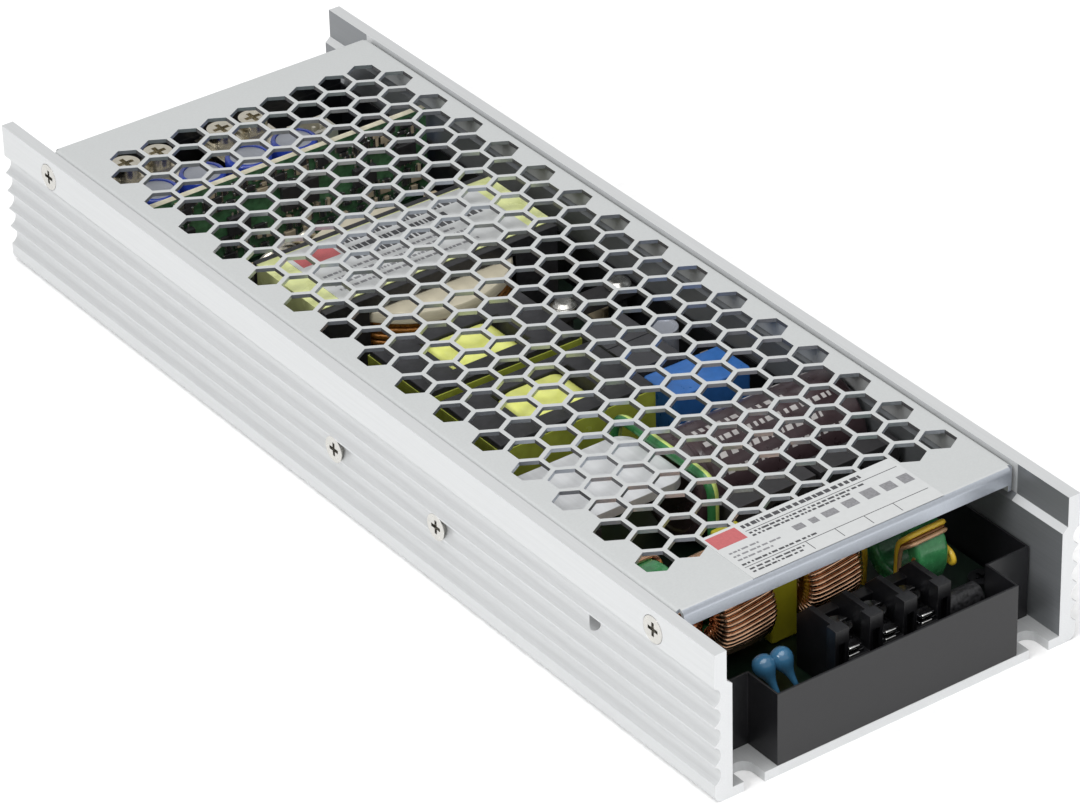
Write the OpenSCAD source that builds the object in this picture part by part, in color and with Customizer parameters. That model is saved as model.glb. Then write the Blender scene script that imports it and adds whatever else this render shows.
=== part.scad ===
// Open frame power supply: a ribbed aluminium channel with a perforated
// cover, an insulation tray and a full board of parts. Millimetres, +Z up.
// The origin is on the floor under the middle of the channel. The input
// end looks along -Y and the output end along +Y.

/* [Channel] */
// Length of the extruded channel
body_len = 232; // [226:1:246]
// Width of the channel over the rib tips
body_w = 81; // [80:0.5:86]
// Height of the channel
body_h = 31; // [30.5:0.1:34]
// Thickness of the base
base_t = 2; // [1.6:0.1:2.2]
// Wall thickness above the ledge
wall_top_t = 2.6; // [2.4:0.1:3]
// Wall thickness below the ledge, to the rib tips
wall_low_t = 3.8; // [3.6:0.1:4]
// Height of the plain band above the ledge that faces the cover
rim_h = 6.2; // [6:0.1:6.6]
// Fall of the ledge towards the inside
ledge_drop = 1; // [0.4:0.1:1.4]
// Number of grooves along each side
groove_count = 5; // [3:1:5]
// Distance from one groove to the next
groove_pitch = 4.1; // [3.6:0.1:4.2]
// Depth of a groove
groove_depth = 1.3; // [0.8:0.1:1.4]
// Flat left on the tip of each rib
rib_flat = 0.3; // [0.2:0.1:0.6]
// Distance of the first groove below the ledge
groove_drop = 0.55; // [0.3:0.05:0.8]
// Radius of the two lower outer corners
foot_r = 1.8; // [0.8:0.1:1.9]

/* [Mounting] */
// Width of the open mounting slots in the base
slot_w = 4.5; // [3.4:0.1:5]
// Depth of a slot from the end of the channel to the centre of its arc
slot_len = 3; // [2:0.1:3.4]
// Distance between the two slots at one end
slot_span = 64; // [62:0.5:65]
// Diameter of the tapped holes in the base
base_hole_d = 3.3; // [2.5:0.1:4.2]
// Distance between the tapped base holes across the width
base_hole_dx = 50; // [40:1:54]
// Distance between the tapped base holes along the length
base_hole_dy = 150; // [120:1:152]
// Diameter of the tapped hole in the left wall
side_hole_d = 3.3; // [2.5:0.1:3.4]
// Distance of the side hole from the input end
side_hole_y = 35.8; // [34:0.1:40]
// Groove whose bottom the side hole is drilled in, from the top
side_hole_groove = 2; // [1:1:3]

/* [Cover] */
// Thickness of the cover sheet
sheet_t = 0.8; // [0.6:0.1:1]
// How far the cover lies below the top of the walls
cover_drop = 0.3; // [0.1:0.1:0.5]
// Distance of the cover from the channel's ends
cover_inset = 13.8; // [13:0.2:14]
// Gap between the cover and each wall
cover_gap = 0.3; // [0.2:0.05:0.4]
// Outer radius of the folds
fold_r = 1.2; // [1.1:0.1:1.5]
// Height of the lips at both ends
lip_h = 3.4; // [2.6:0.1:4]
// Size of the hexagonal holes across their flats
hex_af = 6.1; // [4.6:0.1:6.3]
// Distance between hole centres in a row
hex_pitch = 7.03; // [6.9:0.01:7.1]
// Distance of the first row from the input end of the cover
hex_margin = 15.3; // [13:0.1:15.6]
// Distance of the rows' middle to the right of the cover's middle
hex_x = 0.6; // [0:0.1:0.6]
// Least distance of the last row from the output end of the cover
hex_rear = 12; // [8:0.2:14]
// Least width of the metal beside the rows
hex_side = 2.2; // [2:0.1:8]
// Length of the cover's label
label_w = 42.4; // [30:0.2:46]
// Height of the cover's label
label_h = 15.2; // [8:0.2:16]
// Thickness of the labels
label_t = 0.12; // [0.1:0.01:0.2]

/* [Screws] */
// Thread diameter of the cover and device screws
csk_d = 3; // [2.5:0.1:3]
// Head diameter of the countersunk screws
csk_head = 5.4; // [5:0.1:5.4]
// Height of the countersunk heads
csk_h = 1.6; // [1.2:0.1:1.7]
// Distance of the cover screws from the channel's ends
cover_screw_inset = 17.3; // [17:0.1:24]
// Depth of the cover screws below the top of the channel
cover_screw_drop = 4.1; // [3.6:0.1:4.2]
// Distance of the first device screw from the channel's middle
device_y = -0.3; // [-1:0.1:1]
// Distance between the two device screws
device_dy = 32.9; // [28:0.1:34]
// Height of the device screws
device_screw_z = 13.4; // [13:0.1:15]
// Clearance between a screw and its hole
screw_clear = 0.1; // [0.05:0.05:0.2]

/* [Insulation tray] */
// Thickness of the tray sheet
tray_t = 0.4; // [0.3:0.05:0.5]
// Height of the tray walls above the base
tray_h = 15; // [12:0.5:16]
// Gap between the tray and the walls of the channel
tray_gap = 0.35; // [0.3:0.05:0.45]
// Width of the bay at the input end
bay_w = 53.8; // [50:0.2:55]
// Length of that bay
bay_len = 8.3; // [7.8:0.1:9]
// Distance of the tray from the ends of the channel
tray_inset = 0.1; // [0.1:0.1:0.5]

/* [Board] */
// Thickness of the main board
board_t = 1.6; // [1.2:0.1:1.8]
// Height of the board above the base
board_lift = 3.4; // [3.2:0.1:3.5]
// Clearance between the board and the tray
board_gap = 0.6; // [0.4:0.1:0.8]
// Width of the hexagonal standoffs across their flats
standoff_af = 5; // [4.5:0.1:5.5]
// Thread diameter of the board screws
board_screw_d = 2.5; // [2:0.1:2.6]

/* [Terminal block] */
// Number of ways
ways = 3; // [2:1:3]
// Distance between ways
way_pitch = 7.62; // [7:0.02:7.8]
// Height of the barriers above the board
barrier_h = 14; // [12:0.2:15]
// Thickness of a barrier
barrier_t = 1.2; // [1:0.1:1.4]
// Width of a barrier's front head
head_w = 3; // [2.4:0.1:3.4]
// Depth of the block
block_d = 12; // [11:0.5:13]
// Height of the seat of the clamp plates
seat_h = 7; // [6:0.5:8]
// Diameter of the clamp screws' heads
clamp_head = 5.2; // [4.4:0.1:5.2]

/* [Chokes] */
// Outer radius of a toroid core
toroid_r = 8.4; // [7.6:0.1:8.6]
// Radius of the core's hole
toroid_hole = 4.8; // [4.6:0.1:5.2]
// Width of the core
toroid_w = 7; // [5.6:0.1:7.2]
// Diameter of the choke wire
choke_wire = 1.1; // [0.9:0.05:1.2]
// Angle between neighbouring turns
turn_step = 8.5; // [8:0.5:12]
// Turns in each half of a winding
turns = 16; // [8:1:16]

/* [Magnetics] */
// Width of an inductor core
ind_w = 34.5; // [32:0.5:34.5]
// Length of an inductor core along the channel
ind_l = 19.3; // [17:0.1:20]
// Room between the cores and the cover
core_room = 2.9; // [2.4:0.1:4.4]
// Width of the window in a core
ind_win_w = 17.6; // [15:0.2:19]
// Length of the window in a core
ind_win_l = 10.9; // [9:0.1:12]
// Thickness of the tape round the inductors
tape_t = 0.25; // [0.2:0.05:0.4]
// Room between the transformer core and the screws beside it
tx_side = 1.9; // [1.4:0.1:3]
// Length of the transformer core along the channel
tx_l = 25; // [22:0.5:26]
// Thickness of the transformer core's plates
tx_plate = 3.2; // [3:0.2:4.4]
// Diameter of the transformer coil
tx_coil_d = 41; // [36:0.5:41.5]
// Diameter of the transformer core's middle post
tx_post_d = 17; // [12:0.5:18]

/* [Capacitors] */
// Room between the bulk capacitor and the cover
bulk_room = 2.6; // [2.2:0.1:4]
// Length of the bulk capacitor
bulk_l = 38.6; // [34:0.2:38.6]
// Diameter of the output capacitors
out_cap_d = 9.6; // [8:0.1:10]
// Height of the output capacitors
out_cap_h = 13; // [9:0.5:14]
// Distance between the output capacitors
out_cap_pitch = 11; // [10.4:0.1:11.2]
// Number of output capacitors in a row
out_cap_n = 4; // [2:1:4]

/* [Output] */
// Diameter of the output terminal screws' heads
out_head = 6; // [5.4:0.1:6.4]
// Thickness of the output busbars
bar_t = 1.5; // [1:0.1:2]
// Room between the upright daughter board and the cover
daughter_room = 3.5; // [2.6:0.1:6]

/* [Hidden] */
$fn = 48;
e = 0.01;                                  // overshoot of a cut
end_y = body_len / 2;                      // end of the channel
side_x = body_w / 2;                       // outer face of a wall
in_top = side_x - wall_top_t;              // inner face above the ledge
in_low = side_x - wall_low_t;              // inner face below the ledge
cover_z = body_h - cover_drop;             // top of the cover
cover_x = in_top - cover_gap;              // outer face of the cover's flanges
cover_y = end_y - cover_inset;             // end faces of the cover
under_z = cover_z - sheet_t;               // underside of the cover
ledge_z = body_h - rim_h;                  // outer edge of the ledge
groove_top = ledge_z - groove_drop;        // upper edge of the first groove
tray_x = in_low - tray_gap;                // outer face of the tray's walls
tray_y = end_y - tray_inset;               // outer face of the tray's ends
bay_y = -tray_y + bay_len;                 // step of the tray at the bay
board_z = base_t + board_lift;             // underside of the board
top_z = board_z + board_t;                 // top of the board
board_x = tray_x - tray_t - board_gap;     // side edges of the board
board_y = tray_y - tray_t - board_gap;     // end edges of the board
floor_z = base_t + tray_t;                 // top of the tray's floor
seat = 0.3;                                // gap under a seated part
groove_w = groove_pitch - rib_flat;
groove_r = (pow(groove_w / 2, 2) + pow(groove_depth, 2)) / (2 * groove_depth);
hex_row = hex_pitch * sqrt(3) / 2;
hex_r = hex_af / sqrt(3);
hex_rows = floor((2 * cover_y - hex_margin - hex_rear) / hex_row) + 1;
hex_cols = floor((2 * (cover_x - hex_side - hex_x) - hex_af) / hex_pitch) + 1;
side_hole_z = groove_top - (side_hole_groove - 0.5) * groove_pitch;
cover_screw_y = end_y - cover_screw_inset;
cover_screw_z = body_h - cover_screw_drop;
core_h = under_z - core_room - top_z;      // height of the cores with their seat
ind_h = core_h;
tx_h = core_h;
device_screw_y = [device_y, device_y - device_dy];

// The places on the board were laid out for a channel of this width and
// length, and spread out or close up with it
across = body_w / 81;
along = body_len / 232;

// Cover and tray
label_x = 0.3;                             // middle of the cover's label
label_y = 8.2 - cover_y;
back_room = 5.6;                            // room behind the board at the output end
inset_x = 3.75;                            // standoffs inside the board's edges
inset_y = 6.1;
board_reach = 2;                           // length of a screw below the board
board_head_h = 1.7;
cross_l = 2.6;                             // recess of the small screws
cross_w = 0.6;
cross_deep = 0.8;
standoff_x = board_x - inset_x;
standoff_y = [bay_y + board_gap + tray_t + inset_y, 34.5 * along,
    board_y - back_room - inset_y + 0.3];
pad_t = 0.3;                               // pad between the tray and a device
device_t = 4.8;                            // thickness of a power transistor

// Terminal block
block_x = 1.8 * across;                    // middle of the block
block_y = 4 - end_y;                       // its front face
clamp_reach = 4;                           // length of a clamp screw below its head
clamp_head_h = 2.4;
clamp_slot = 0.8;
clamp_y = 6;                               // clamp screws behind the front face
clamp_t = 1;                               // thickness of a clamp plate
clamp_bore = 3.1;                          // hole for a clamp screw
head_l = 2.6;                              // depth of a barrier's head
rear_l = 2.4;                              // depth of the wall behind the ways

// Input parts
fuse_r = 2.5;                              // sleeve of the fuse
fuse_l = 8.6;
fuse_x = bay_w / 2 - 0.7 - fuse_l;         // its left end
fuse_y = block_y + 6.6;
pin = 0.8;                                 // width of a plain lead
disc_d = 5;                              // disc capacitors
disc_t = 2.8;
disc_x = [-20.2 * across, -16.6 * across];
disc_y = block_y + 8.2;
disc_lift = 3.1;                           // coated legs under a disc
disc_lean = -8;                            // lean of the discs, degrees
xcap_size = [5.8, 18, 15];
xcap_at = [-6.9 * across, -83.6 * along];  // middle

// Chokes: middle of each toroid
choke_x = across * [-17.9, 3.9, 20.1, -28.4];
choke_y = along * [-87.2, -86.6, -92.7, -82];
choke_out = toroid_r + choke_wire;         // outer radius over the wire
choke_z = top_z + choke_out + seat;        // height of the chokes' axes
turn_gap = 0.12;                           // share of a step left open
lead_y = 4.4;                              // wire ends beside the choke's middle
lead_h = 3;                                // height of the wire ends
bare_turns = 4;                            // turns in each half of the bare choke

// High voltage section
rect_size = [18.2, 5.2, 14.5];
rect_x = [board_x - 2 * rect_size[0] - 1.35, board_x - rect_size[0] - 0.35];
rect_y = -72.8 * along;                    // their marked faces
rect_lift = 1;
rect_pitch = 4.2;                          // distance between their four pins
rect_bore = 3.2;
wall_room = 0.35;                          // room between a part and the tray's wall
bulk_x = tray_x - tray_t - wall_room - bulk_l;
bulk_y = -53.9 * along;
bulk_r = (under_z - bulk_room - top_z - seat) / 2;
bulk_z = top_z + bulk_r + seat;
bulk_pins = 7.5;
film_at = [21.7 * across, -29.8 * along];  // middle
film_size = [18, 10, 14];
relay_at = [17.4 * across, -14.6 * along];
relay_size = [10.2, 18, 15];
bias_at = [28.4 * across, -10.2 * along];
bias_d = 6.3;
bias_h = 12;
spread_t = 2;                              // aluminium angle on the board
spread_x = 4.15 - board_x;                 // its left face
spread_w = bulk_x - 2.6 - spread_x;        // reaches towards the bulk capacitor
spread_l = 19;
spread_y = bulk_y - spread_l / 2;          // its input side
spread_z = under_z - 3.9;                  // its top
spread_r = 4;                              // radius of its two free corners
spread_bore = 3.2;
pack_y = [bulk_y - 4.7, bulk_y + 4.7];     // devices on the angle
pack_w = 9;
pack_t = 4.2;
pack_lift = 2;
pack_room = 1.4;                           // room between a device and the angle's top
pack_h = spread_z - spread_t - pack_room - top_z - pack_lift;
spread_screw_z = top_z + pack_lift + pack_h - 2.6;
pack_pitch = 2.54;

// Devices on the left wall
device_w = 15.6;
device_h = 14.6;
device_lift = 1.4;
device_pitch = 5.45;
pad_rim = 1;                               // how far a pad stands out beside a device
pad_z = [top_z + 0.6, base_t + tray_h - 0.6];
device_x = -tray_x + tray_t + pad_t;       // face of a device on its pad
device_bore = csk_d / 2 + 2 * screw_clear;

// Magnetics
ind_x = -10.1 * across;
ind_y = along * [-3.5, -26.2];
ind_post_w = ind_win_w / 2;                // middle post of an inductor core
ind_post_z = [0.3 * ind_h, 0.7 * ind_h];
coil_gap = 0.15;                           // room between a coil and its core
coil_h = ind_h - 1.4;                      // height of an inductor coil
coil_r = 4.6;                              // its corners
tape_rim = 1.2;                            // core left bare above and below the tape
tx_x = 0.2;
tx_w = 2 * (standoff_x - board_screw_d - tx_side - tx_x);
tx_y = 34 * along;
tx_room = 0.5;                             // room round the transformer coil
tx_tape_rim = 1.8;
tx_label_w = tx_w - 10;
leads_x = -11.9;                           // first transformer lead
leads_pitch = 3.6;
leads_n = 4;
leads_d = 2.4;
leads_h = 8;                               // straight part above the board
leads_bend = 2.6;

// Earth wire and the points of its route: it rises behind the angle, lies
// over its edge and goes down in front of it
wire_d = 2.2;
wire_x = bulk_x - 1.6;
wire_rear = ind_y[1] - ind_l / 2 - 3.75;
wire_front = spread_y - 5.6;
wire_rise = [[0, -12], [-0.1, -6], [-0.4, -2], [-1.2, 0], [-3, 1], [-5.4, 1.2]];
wire_fall = [[17, 1.2], [9, 1.2], [3.6, 1.2], [1.6, 0.8], [0.3, -0.6], [0, -3], [0, -10]];
wire_route = concat([[wire_x, wire_rear, top_z]],
    [for (p = wire_rise) [wire_x, wire_rear + p[0], spread_z + p[1]]],
    [for (p = wire_fall) [wire_x, wire_front + p[0], spread_z + p[1]]],
    [[wire_x, wire_front, top_z]]);

// Output section
daughter_y = 76.4 * along;                 // face that looks at the transformer
daughter_t = 1.6;
daughter_x = [4.35 - board_x, board_x - 0.95];
daughter_h = under_z - daughter_room - top_z;
// rows of small parts: pitch, width, height, depth, share of the height
daughter_rows = [[9.4, 5.4, 5.4, 1.1, 0.4], [8, 2.4, 2, 1.6, 0.7], [5, 1.6, 1, 0.9, 0.86]];
can_mid = -3.7 * across;                   // middle of the output capacitors
can_y = 92.2 * along;
can_bead_z = 1.6;                          // bead round each can
can_bead = 0.7;
post_mid = -3.9 * across;                  // middle of the output posts
post_x = [for (i = [-2, -1, 1, 2]) post_mid + i * way_pitch];
bar_rim = 4.1;                             // busbar left beside and behind a post
post_y = board_y - back_room - bar_rim;
post_h = 8;
post_af = 6;
post_bore = 3.5;
bar_y = can_y + out_cap_d / 2 + 0.4;       // front of the busbars
washer_w = 6.6;                            // square washers under the screws
washer_t = 0.8;
out_head_h = 2.4;
trimmer_at = [26.6 * across, 88 * along];
trimmer_w = 6;
trimmer_h = 5;
led_at = [31.6 * across, 95 * along];
led_d = 3;
led_h = 5;
plug_size = [8.6, 6.2, 6.6];
plug_at = [standoff_x - board_screw_d - seat - plug_size[0], standoff_y[2] - 3];
plug_wall = 0.9;
plug_pitch = 2;
plug_pins = 4;

// Small parts of the main board: corner, then size
chips = [[[-31, 62], [3, 5, 4]], [[-24, 60], [4, 3, 3]], [[-16, 64], [5, 4, 5]],
    [[-6, 61], [3, 3, 4]], [[3, 64], [6, 4, 3]], [[14, 62], [4, 4, 6]],
    [[22, 58], [5, 3, 4]], [[28, 64], [3, 5, 5]], [[14, 4], [4, 4, 6]],
    [[24, 2], [5, 3, 5]], [[31, 12], [3, 6, 4]], [[32, -20], [2, 3, 8]],
    [[-24, -72], [6, 3, 3]]];

// ---------------------------------------------------------------- helpers

// Box from its two corners
module block(a, b) {
    translate(a)
        cube(b - a);
}

// Cylinder along X from x0 to x1
module rod_x(r, x0, x1, y, z) {
    translate([x0, y, z])
        rotate([0, 90, 0])
            cylinder(r = r, h = x1 - x0);
}

// Cylinder along Y from y0 to y1
module rod_y(r, y0, y1, x, z) {
    translate([x, y1, z])
        rotate([90, 0, 0])
            cylinder(r = r, h = y1 - y0);
}

// Rectangle with round corners, centred
module round_rect(w, h, r) {
    square([w - 2 * r, h], center = true);
    square([w, h - 2 * r], center = true);
    for (sx = [-1, 1], sy = [-1, 1])
        translate([sx * (w / 2 - r), sy * (h / 2 - r)])
            circle(r = r);
}

// Box with round upright edges that stands on the board, its middle at p
module round_block(p, size, r) {
    translate([p[0], p[1], top_z])
        linear_extrude(size[2])
            round_rect(size[0], size[1], r);
}

// Countersunk screw along +X, its head's face at x = 0
module csk_screw(length, grow = 0) {
    rotate([0, 90, 0]) {
        cylinder(r1 = csk_head / 2 + grow, r2 = csk_d / 2 + grow, h = csk_h);
        cylinder(r = csk_d / 2 + grow, h = length);
    }
}

// ---------------------------------------------------------------- channel

// Section of the channel: x across, y up
module channel_section() {
    difference() {
        union() {
            translate([-side_x, foot_r])
                square([body_w, body_h - foot_r]);
            translate([-side_x + foot_r, 0])
                square([body_w - 2 * foot_r, foot_r + e]);
            for (s = [-1, 1])
                translate([s * (side_x - foot_r), foot_r])
                    circle(r = foot_r);
        }
        translate([-in_low, base_t])
            square([2 * in_low, body_h]);
        polygon([[-in_low, ledge_z - ledge_drop], [in_low, ledge_z - ledge_drop],
            [in_top, ledge_z], [in_top, body_h + e],
            [-in_top, body_h + e], [-in_top, ledge_z]]);
        for (s = [-1, 1], i = [0 : groove_count - 1])
            translate([s * (side_x + groove_r - groove_depth), groove_top - (i + 0.5) * groove_pitch])
                circle(r = groove_r);
    }
}

// Open slots at both ends of the base
module mounting_slots() {
    for (sx = [-1, 1], sy = [-1, 1])
        translate([sx * slot_span / 2, sy * (end_y - slot_len), -e]) {
            cylinder(d = slot_w, h = base_t + 2 * e);
            translate([-slot_w / 2, sy > 0 ? 0 : -slot_len - e, 0])
                cube([slot_w, slot_len + e, base_t + 2 * e]);
        }
}

module chassis() {
    color("gainsboro")
        difference() {
            rotate([90, 0, 0])
                linear_extrude(body_len, center = true)
                    channel_section();
            mounting_slots();
            for (sx = [-1, 1], sy = [-1, 1]) {
                translate([sx * base_hole_dx / 2, sy * base_hole_dy / 2, -e])
                    cylinder(d = base_hole_d, h = base_t + 2 * e);
                translate([sx * (side_x + e), sy * cover_screw_y, cover_screw_z])
                    rotate([0, 0, sx < 0 ? 0 : 180])
                        csk_screw(wall_top_t + 2 * e, screw_clear);
            }
            for (y = device_screw_y)
                translate([-side_x - e, y, device_screw_z])
                    csk_screw(wall_low_t + 2 * e, screw_clear);
            rod_x(side_hole_d / 2, -side_x - e, -in_low + e, -end_y + side_hole_y, side_hole_z);
        }
}

// ------------------------------------------------------------------ cover

// Flat of the cover with its rows of hexagons
module cover_flat() {
    difference() {
        square([2 * (cover_x - fold_r), 2 * (cover_y - fold_r)], center = true);
        for (j = [0 : hex_rows - 1]) {
            cols = hex_cols - (j % 2);
            for (i = [0 : cols - 1])
                translate([hex_x + (i - (cols - 1) / 2) * hex_pitch, hex_margin - cover_y + j * hex_row])
                    rotate(30)
                        circle(r = hex_r, $fn = 6);
        }
    }
}

// A folded edge: a quarter turn and a flange that hangs down by h
module folded_edge(length, h) {
    rotate([90, 0, 0])
        linear_extrude(length, center = true) {
            intersection() {
                difference() {
                    circle(r = fold_r);
                    circle(r = fold_r - sheet_t);
                }
                square(fold_r + 1);
            }
            translate([fold_r - sheet_t, -(h - fold_r)])
                square([sheet_t, h - fold_r]);
        }
}

module cover() {
    flange_h = cover_z - ledge_z - 0.1;
    color("silver")
        difference() {
            union() {
                translate([0, 0, cover_z - sheet_t])
                    linear_extrude(sheet_t)
                        cover_flat();
                for (s = [0, 180])
                    rotate([0, 0, s]) {
                        translate([cover_x - fold_r, 0, cover_z - fold_r])
                            folded_edge(2 * (cover_y - fold_r), flange_h);
                        translate([0, cover_y - fold_r, cover_z - fold_r])
                            rotate([0, 0, 90])
                                folded_edge(2 * (cover_x - fold_r), lip_h);
                    }
            }
            for (sx = [-1, 1], sy = [-1, 1])
                rod_x(csk_d / 2 + screw_clear, sx * cover_x - sheet_t - e, sx * cover_x + sheet_t + e,
                    sy * cover_screw_y, cover_screw_z);
        }
}

module cover_label() {
    color("whitesmoke")
        translate([label_x, label_y, cover_z])
            linear_extrude(label_t)
                square([label_w, label_h], center = true);
}

module cover_screws() {
    color("lightgray")
        for (sx = [-1, 1], sy = [-1, 1])
            translate([sx * side_x, sy * cover_screw_y, cover_screw_z])
                rotate([0, 0, sx < 0 ? 0 : 180])
                    difference() {
                        csk_screw(wall_top_t + cover_gap + sheet_t + 0.6);
                        cross_recess();
                    }
}

// Cross recess at x = 0, cut into +X
module cross_recess() {
    for (a = [0, 90])
        rotate([a, 0, 0])
            translate([-e, -0.35, -1.4])
                cube([1.2, 0.7, 2.8]);
}

module device_screws() {
    color("lightgray")
        for (y = device_screw_y)
            translate([-side_x + 0.1, y, device_screw_z])
                difference() {
                    csk_screw(wall_low_t + tray_gap + tray_t + pad_t + device_t - 0.6);
                    cross_recess();
                }
}

// ------------------------------------------------------- insulation tray

// Outline of the tray, smaller by d on every side
module tray_outline(d = 0) {
    translate([-tray_x + d, bay_y + d])
        square([2 * (tray_x - d), tray_y - bay_y - 2 * d - back_room]);
    translate([-bay_w / 2 + d, -tray_y + d])
        square([bay_w - 2 * d, bay_len + 1]);
}

module standoff_places() {
    for (sx = [-1, 1], y = standoff_y)
        translate([sx * standoff_x, y])
            children();
}

module insulation_tray() {
    color([0.13, 0.13, 0.14])
        difference() {
            translate([0, 0, base_t])
                linear_extrude(tray_h)
                    tray_outline();
            translate([0, 0, floor_z])
                linear_extrude(tray_h)
                    tray_outline(tray_t);
            translate([0, 0, base_t - e])
                linear_extrude(1)
                    standoff_places()
                        circle(d = standoff_af + 1.6);
            for (y = device_screw_y)
                rod_x(csk_d / 2 + 2 * screw_clear, -tray_x - e, -tray_x + tray_t + e, y, device_screw_z);
        }
}

// ------------------------------------------------------------------ board

module board_outline() {
    translate([-board_x, bay_y + board_gap + tray_t])
        square([2 * board_x, board_y - bay_y - 2 * board_gap - back_room]);
    translate([-bay_w / 2 + tray_t + board_gap, -board_y])
        square([bay_w - 2 * (tray_t + board_gap), bay_len + 1]);
}

module main_board() {
    color("darkgreen")
        difference() {
            translate([0, 0, board_z])
                linear_extrude(board_t)
                    board_outline();
            translate([0, 0, board_z - e])
                linear_extrude(board_t + 2 * e)
                    standoff_places()
                        circle(d = board_screw_d + 0.4);
        }
}

module standoffs() {
    color("silver")
        translate([0, 0, base_t])
            linear_extrude(board_lift)
                standoff_places()
                    difference() {
                        circle(d = standoff_af / cos(30), $fn = 6);
                        circle(d = board_screw_d + 2 * screw_clear);
                    }
}

module board_screws() {
    color("lightgray")
        standoff_places()
            translate([0, 0, top_z]) {
                translate([0, 0, -board_t - board_reach])
                    cylinder(d = board_screw_d, h = board_t + board_reach + e);
                difference() {
                    cylinder(d = 2 * board_screw_d, h = board_head_h);
                    for (a = [0, 90])
                        rotate([0, 0, a])
                            translate([-cross_l / 2, -cross_w / 2, board_head_h - cross_deep])
                                cube([cross_l, cross_w, board_head_h]);
                }
            }
}

// --------------------------------------------------------- terminal block

function barrier_x(i) = block_x + (i - ways / 2) * way_pitch;

module terminal_block() {
    base_w = ways * way_pitch + barrier_t;
    color([0.1, 0.1, 0.1])
        difference() {
            union() {
                translate([block_x - base_w / 2, block_y, top_z])
                    cube([base_w, block_d, seat_h]);
                translate([block_x - base_w / 2, block_y + block_d - rear_l, top_z])
                    cube([base_w, rear_l, barrier_h - 3.5]);
                for (i = [0 : ways]) {
                    translate([barrier_x(i) - barrier_t / 2, block_y + 0.6, top_z])
                        cube([barrier_t, block_d - 0.6, barrier_h]);
                    translate([barrier_x(i) - head_w / 2, block_y, top_z])
                        cube([head_w, head_l, barrier_h]);
                }
            }
            for (i = [0 : ways]) {
                // recess between the two legs of a head
                translate([barrier_x(i) - (head_w - 1.4) / 2, block_y - e, top_z - e])
                    cube([head_w - 1.4, 1.2, barrier_h - 3]);
                // slope behind each barrier
                translate([barrier_x(i) - head_w, block_y + block_d, top_z + barrier_h - 3])
                    rotate([45, 0, 0])
                        cube([2 * head_w, 6, 6]);
            }
            for (i = [0 : ways - 1])
                translate([barrier_x(i) + way_pitch / 2, block_y + clamp_y, top_z + seat_h - 4])
                    cylinder(d = clamp_bore, h = 5);
        }
}

module terminal_clamps() {
    tongue_w = way_pitch - head_w - 0.3;
    plate_w = way_pitch - barrier_t - 0.4;
    color("silver")
        for (i = [0 : ways - 1])
            translate([barrier_x(i) + way_pitch / 2, block_y, top_z + seat_h])
                difference() {
                    union() {
                        translate([-tongue_w / 2, 0.3, 0])
                            cube([tongue_w, head_l + 0.5, clamp_t]);
                        translate([-plate_w / 2, head_l + 0.3, 0])
                            cube([plate_w, block_d - rear_l - head_l - 0.6, clamp_t]);
                    }
                    translate([0, clamp_y, -e])
                        cylinder(d = clamp_bore, h = clamp_t + 2 * e);
                }
}

module terminal_screws() {
    color("lightgray")
        for (i = [0 : ways - 1])
            translate([barrier_x(i) + way_pitch / 2, block_y + clamp_y, top_z + seat_h + clamp_t]) {
                translate([0, 0, -clamp_reach])
                    cylinder(d = clamp_bore - 0.2, h = clamp_reach + e);
                difference() {
                    cylinder(d = clamp_head, h = clamp_head_h);
                    translate([-clamp_head, -clamp_slot / 2, clamp_head_h / 2])
                        cube([2 * clamp_head, clamp_slot, clamp_head_h]);
                }
            }
}

// ------------------------------------------------------------ input parts

// Fuse in its sleeve, lying across the board on two pins
module input_fuse() {
    color([0.16, 0.16, 0.17]) {
        rod_x(fuse_r, fuse_x, fuse_x + fuse_l, fuse_y, top_z + fuse_r + seat);
        for (x = [fuse_x + pin, fuse_x + fuse_l - pin])
            block([x - pin / 2, fuse_y - pin / 2, top_z], [x + pin / 2, fuse_y + pin / 2, top_z + fuse_r]);
    }
}

// Disc capacitor that leans on its two coated legs
module disc_capacitor() {
    rotate([0, disc_lean, 0]) {
        translate([-disc_t / 2, 0, disc_d / 2 + disc_lift])
            rotate([0, 90, 0])
                cylinder(d = disc_d, h = disc_t);
        for (s = [-1, 1])
            translate([0, s * 0.3 * disc_d, -pin])
                cylinder(d = pin, h = disc_lift + 2 * pin);
    }
}

module y_capacitors() {
    color("steelblue")
        difference() {
            for (x = disc_x)
                translate([x, disc_y, top_z])
                    disc_capacitor();
            block([disc_x[0] - disc_d, disc_y - disc_d, top_z - 2],
                [disc_x[1] + disc_d, disc_y + disc_d, top_z]);
        }
}

module x_capacitor() {
    color([0.75, 0.72, 0.12])
        translate([xcap_at[0] - xcap_size[0] / 2, xcap_at[1] - xcap_size[1] / 2, top_z])
            cube(xcap_size);
}

// ----------------------------------------------------------------- chokes

// Turns the toroid's own frame so that its axis lies along X
module at_choke(n) {
    translate([choke_x[n], choke_y[n], choke_z])
        rotate([0, 90, 0])
            children();
}

module choke_core(n) {
    color("seagreen")
        at_choke(n)
            rotate_extrude($fn = 64)
                translate([(toroid_r + toroid_hole) / 2, 0])
                    round_rect(toroid_r - toroid_hole, toroid_w, 1);
}

// Section of one turn round the core, with its outer corners cut off
module turn_section() {
    g = 0.05;
    w = toroid_r - toroid_hole + 2 * g;
    h = toroid_w + 2 * g;
    x = w / 2 + choke_wire;
    y = h / 2 + choke_wire;
    c = 0.6 * choke_wire;
    translate([(toroid_r + toroid_hole) / 2, 0])
        difference() {
            polygon([[x, y - c], [x - c, y], [c - x, y], [-x, y - c],
                [-x, c - y], [c - x, -y], [x - c, -y], [x, c - y]]);
            square([w, h], center = true);
        }
}

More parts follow.
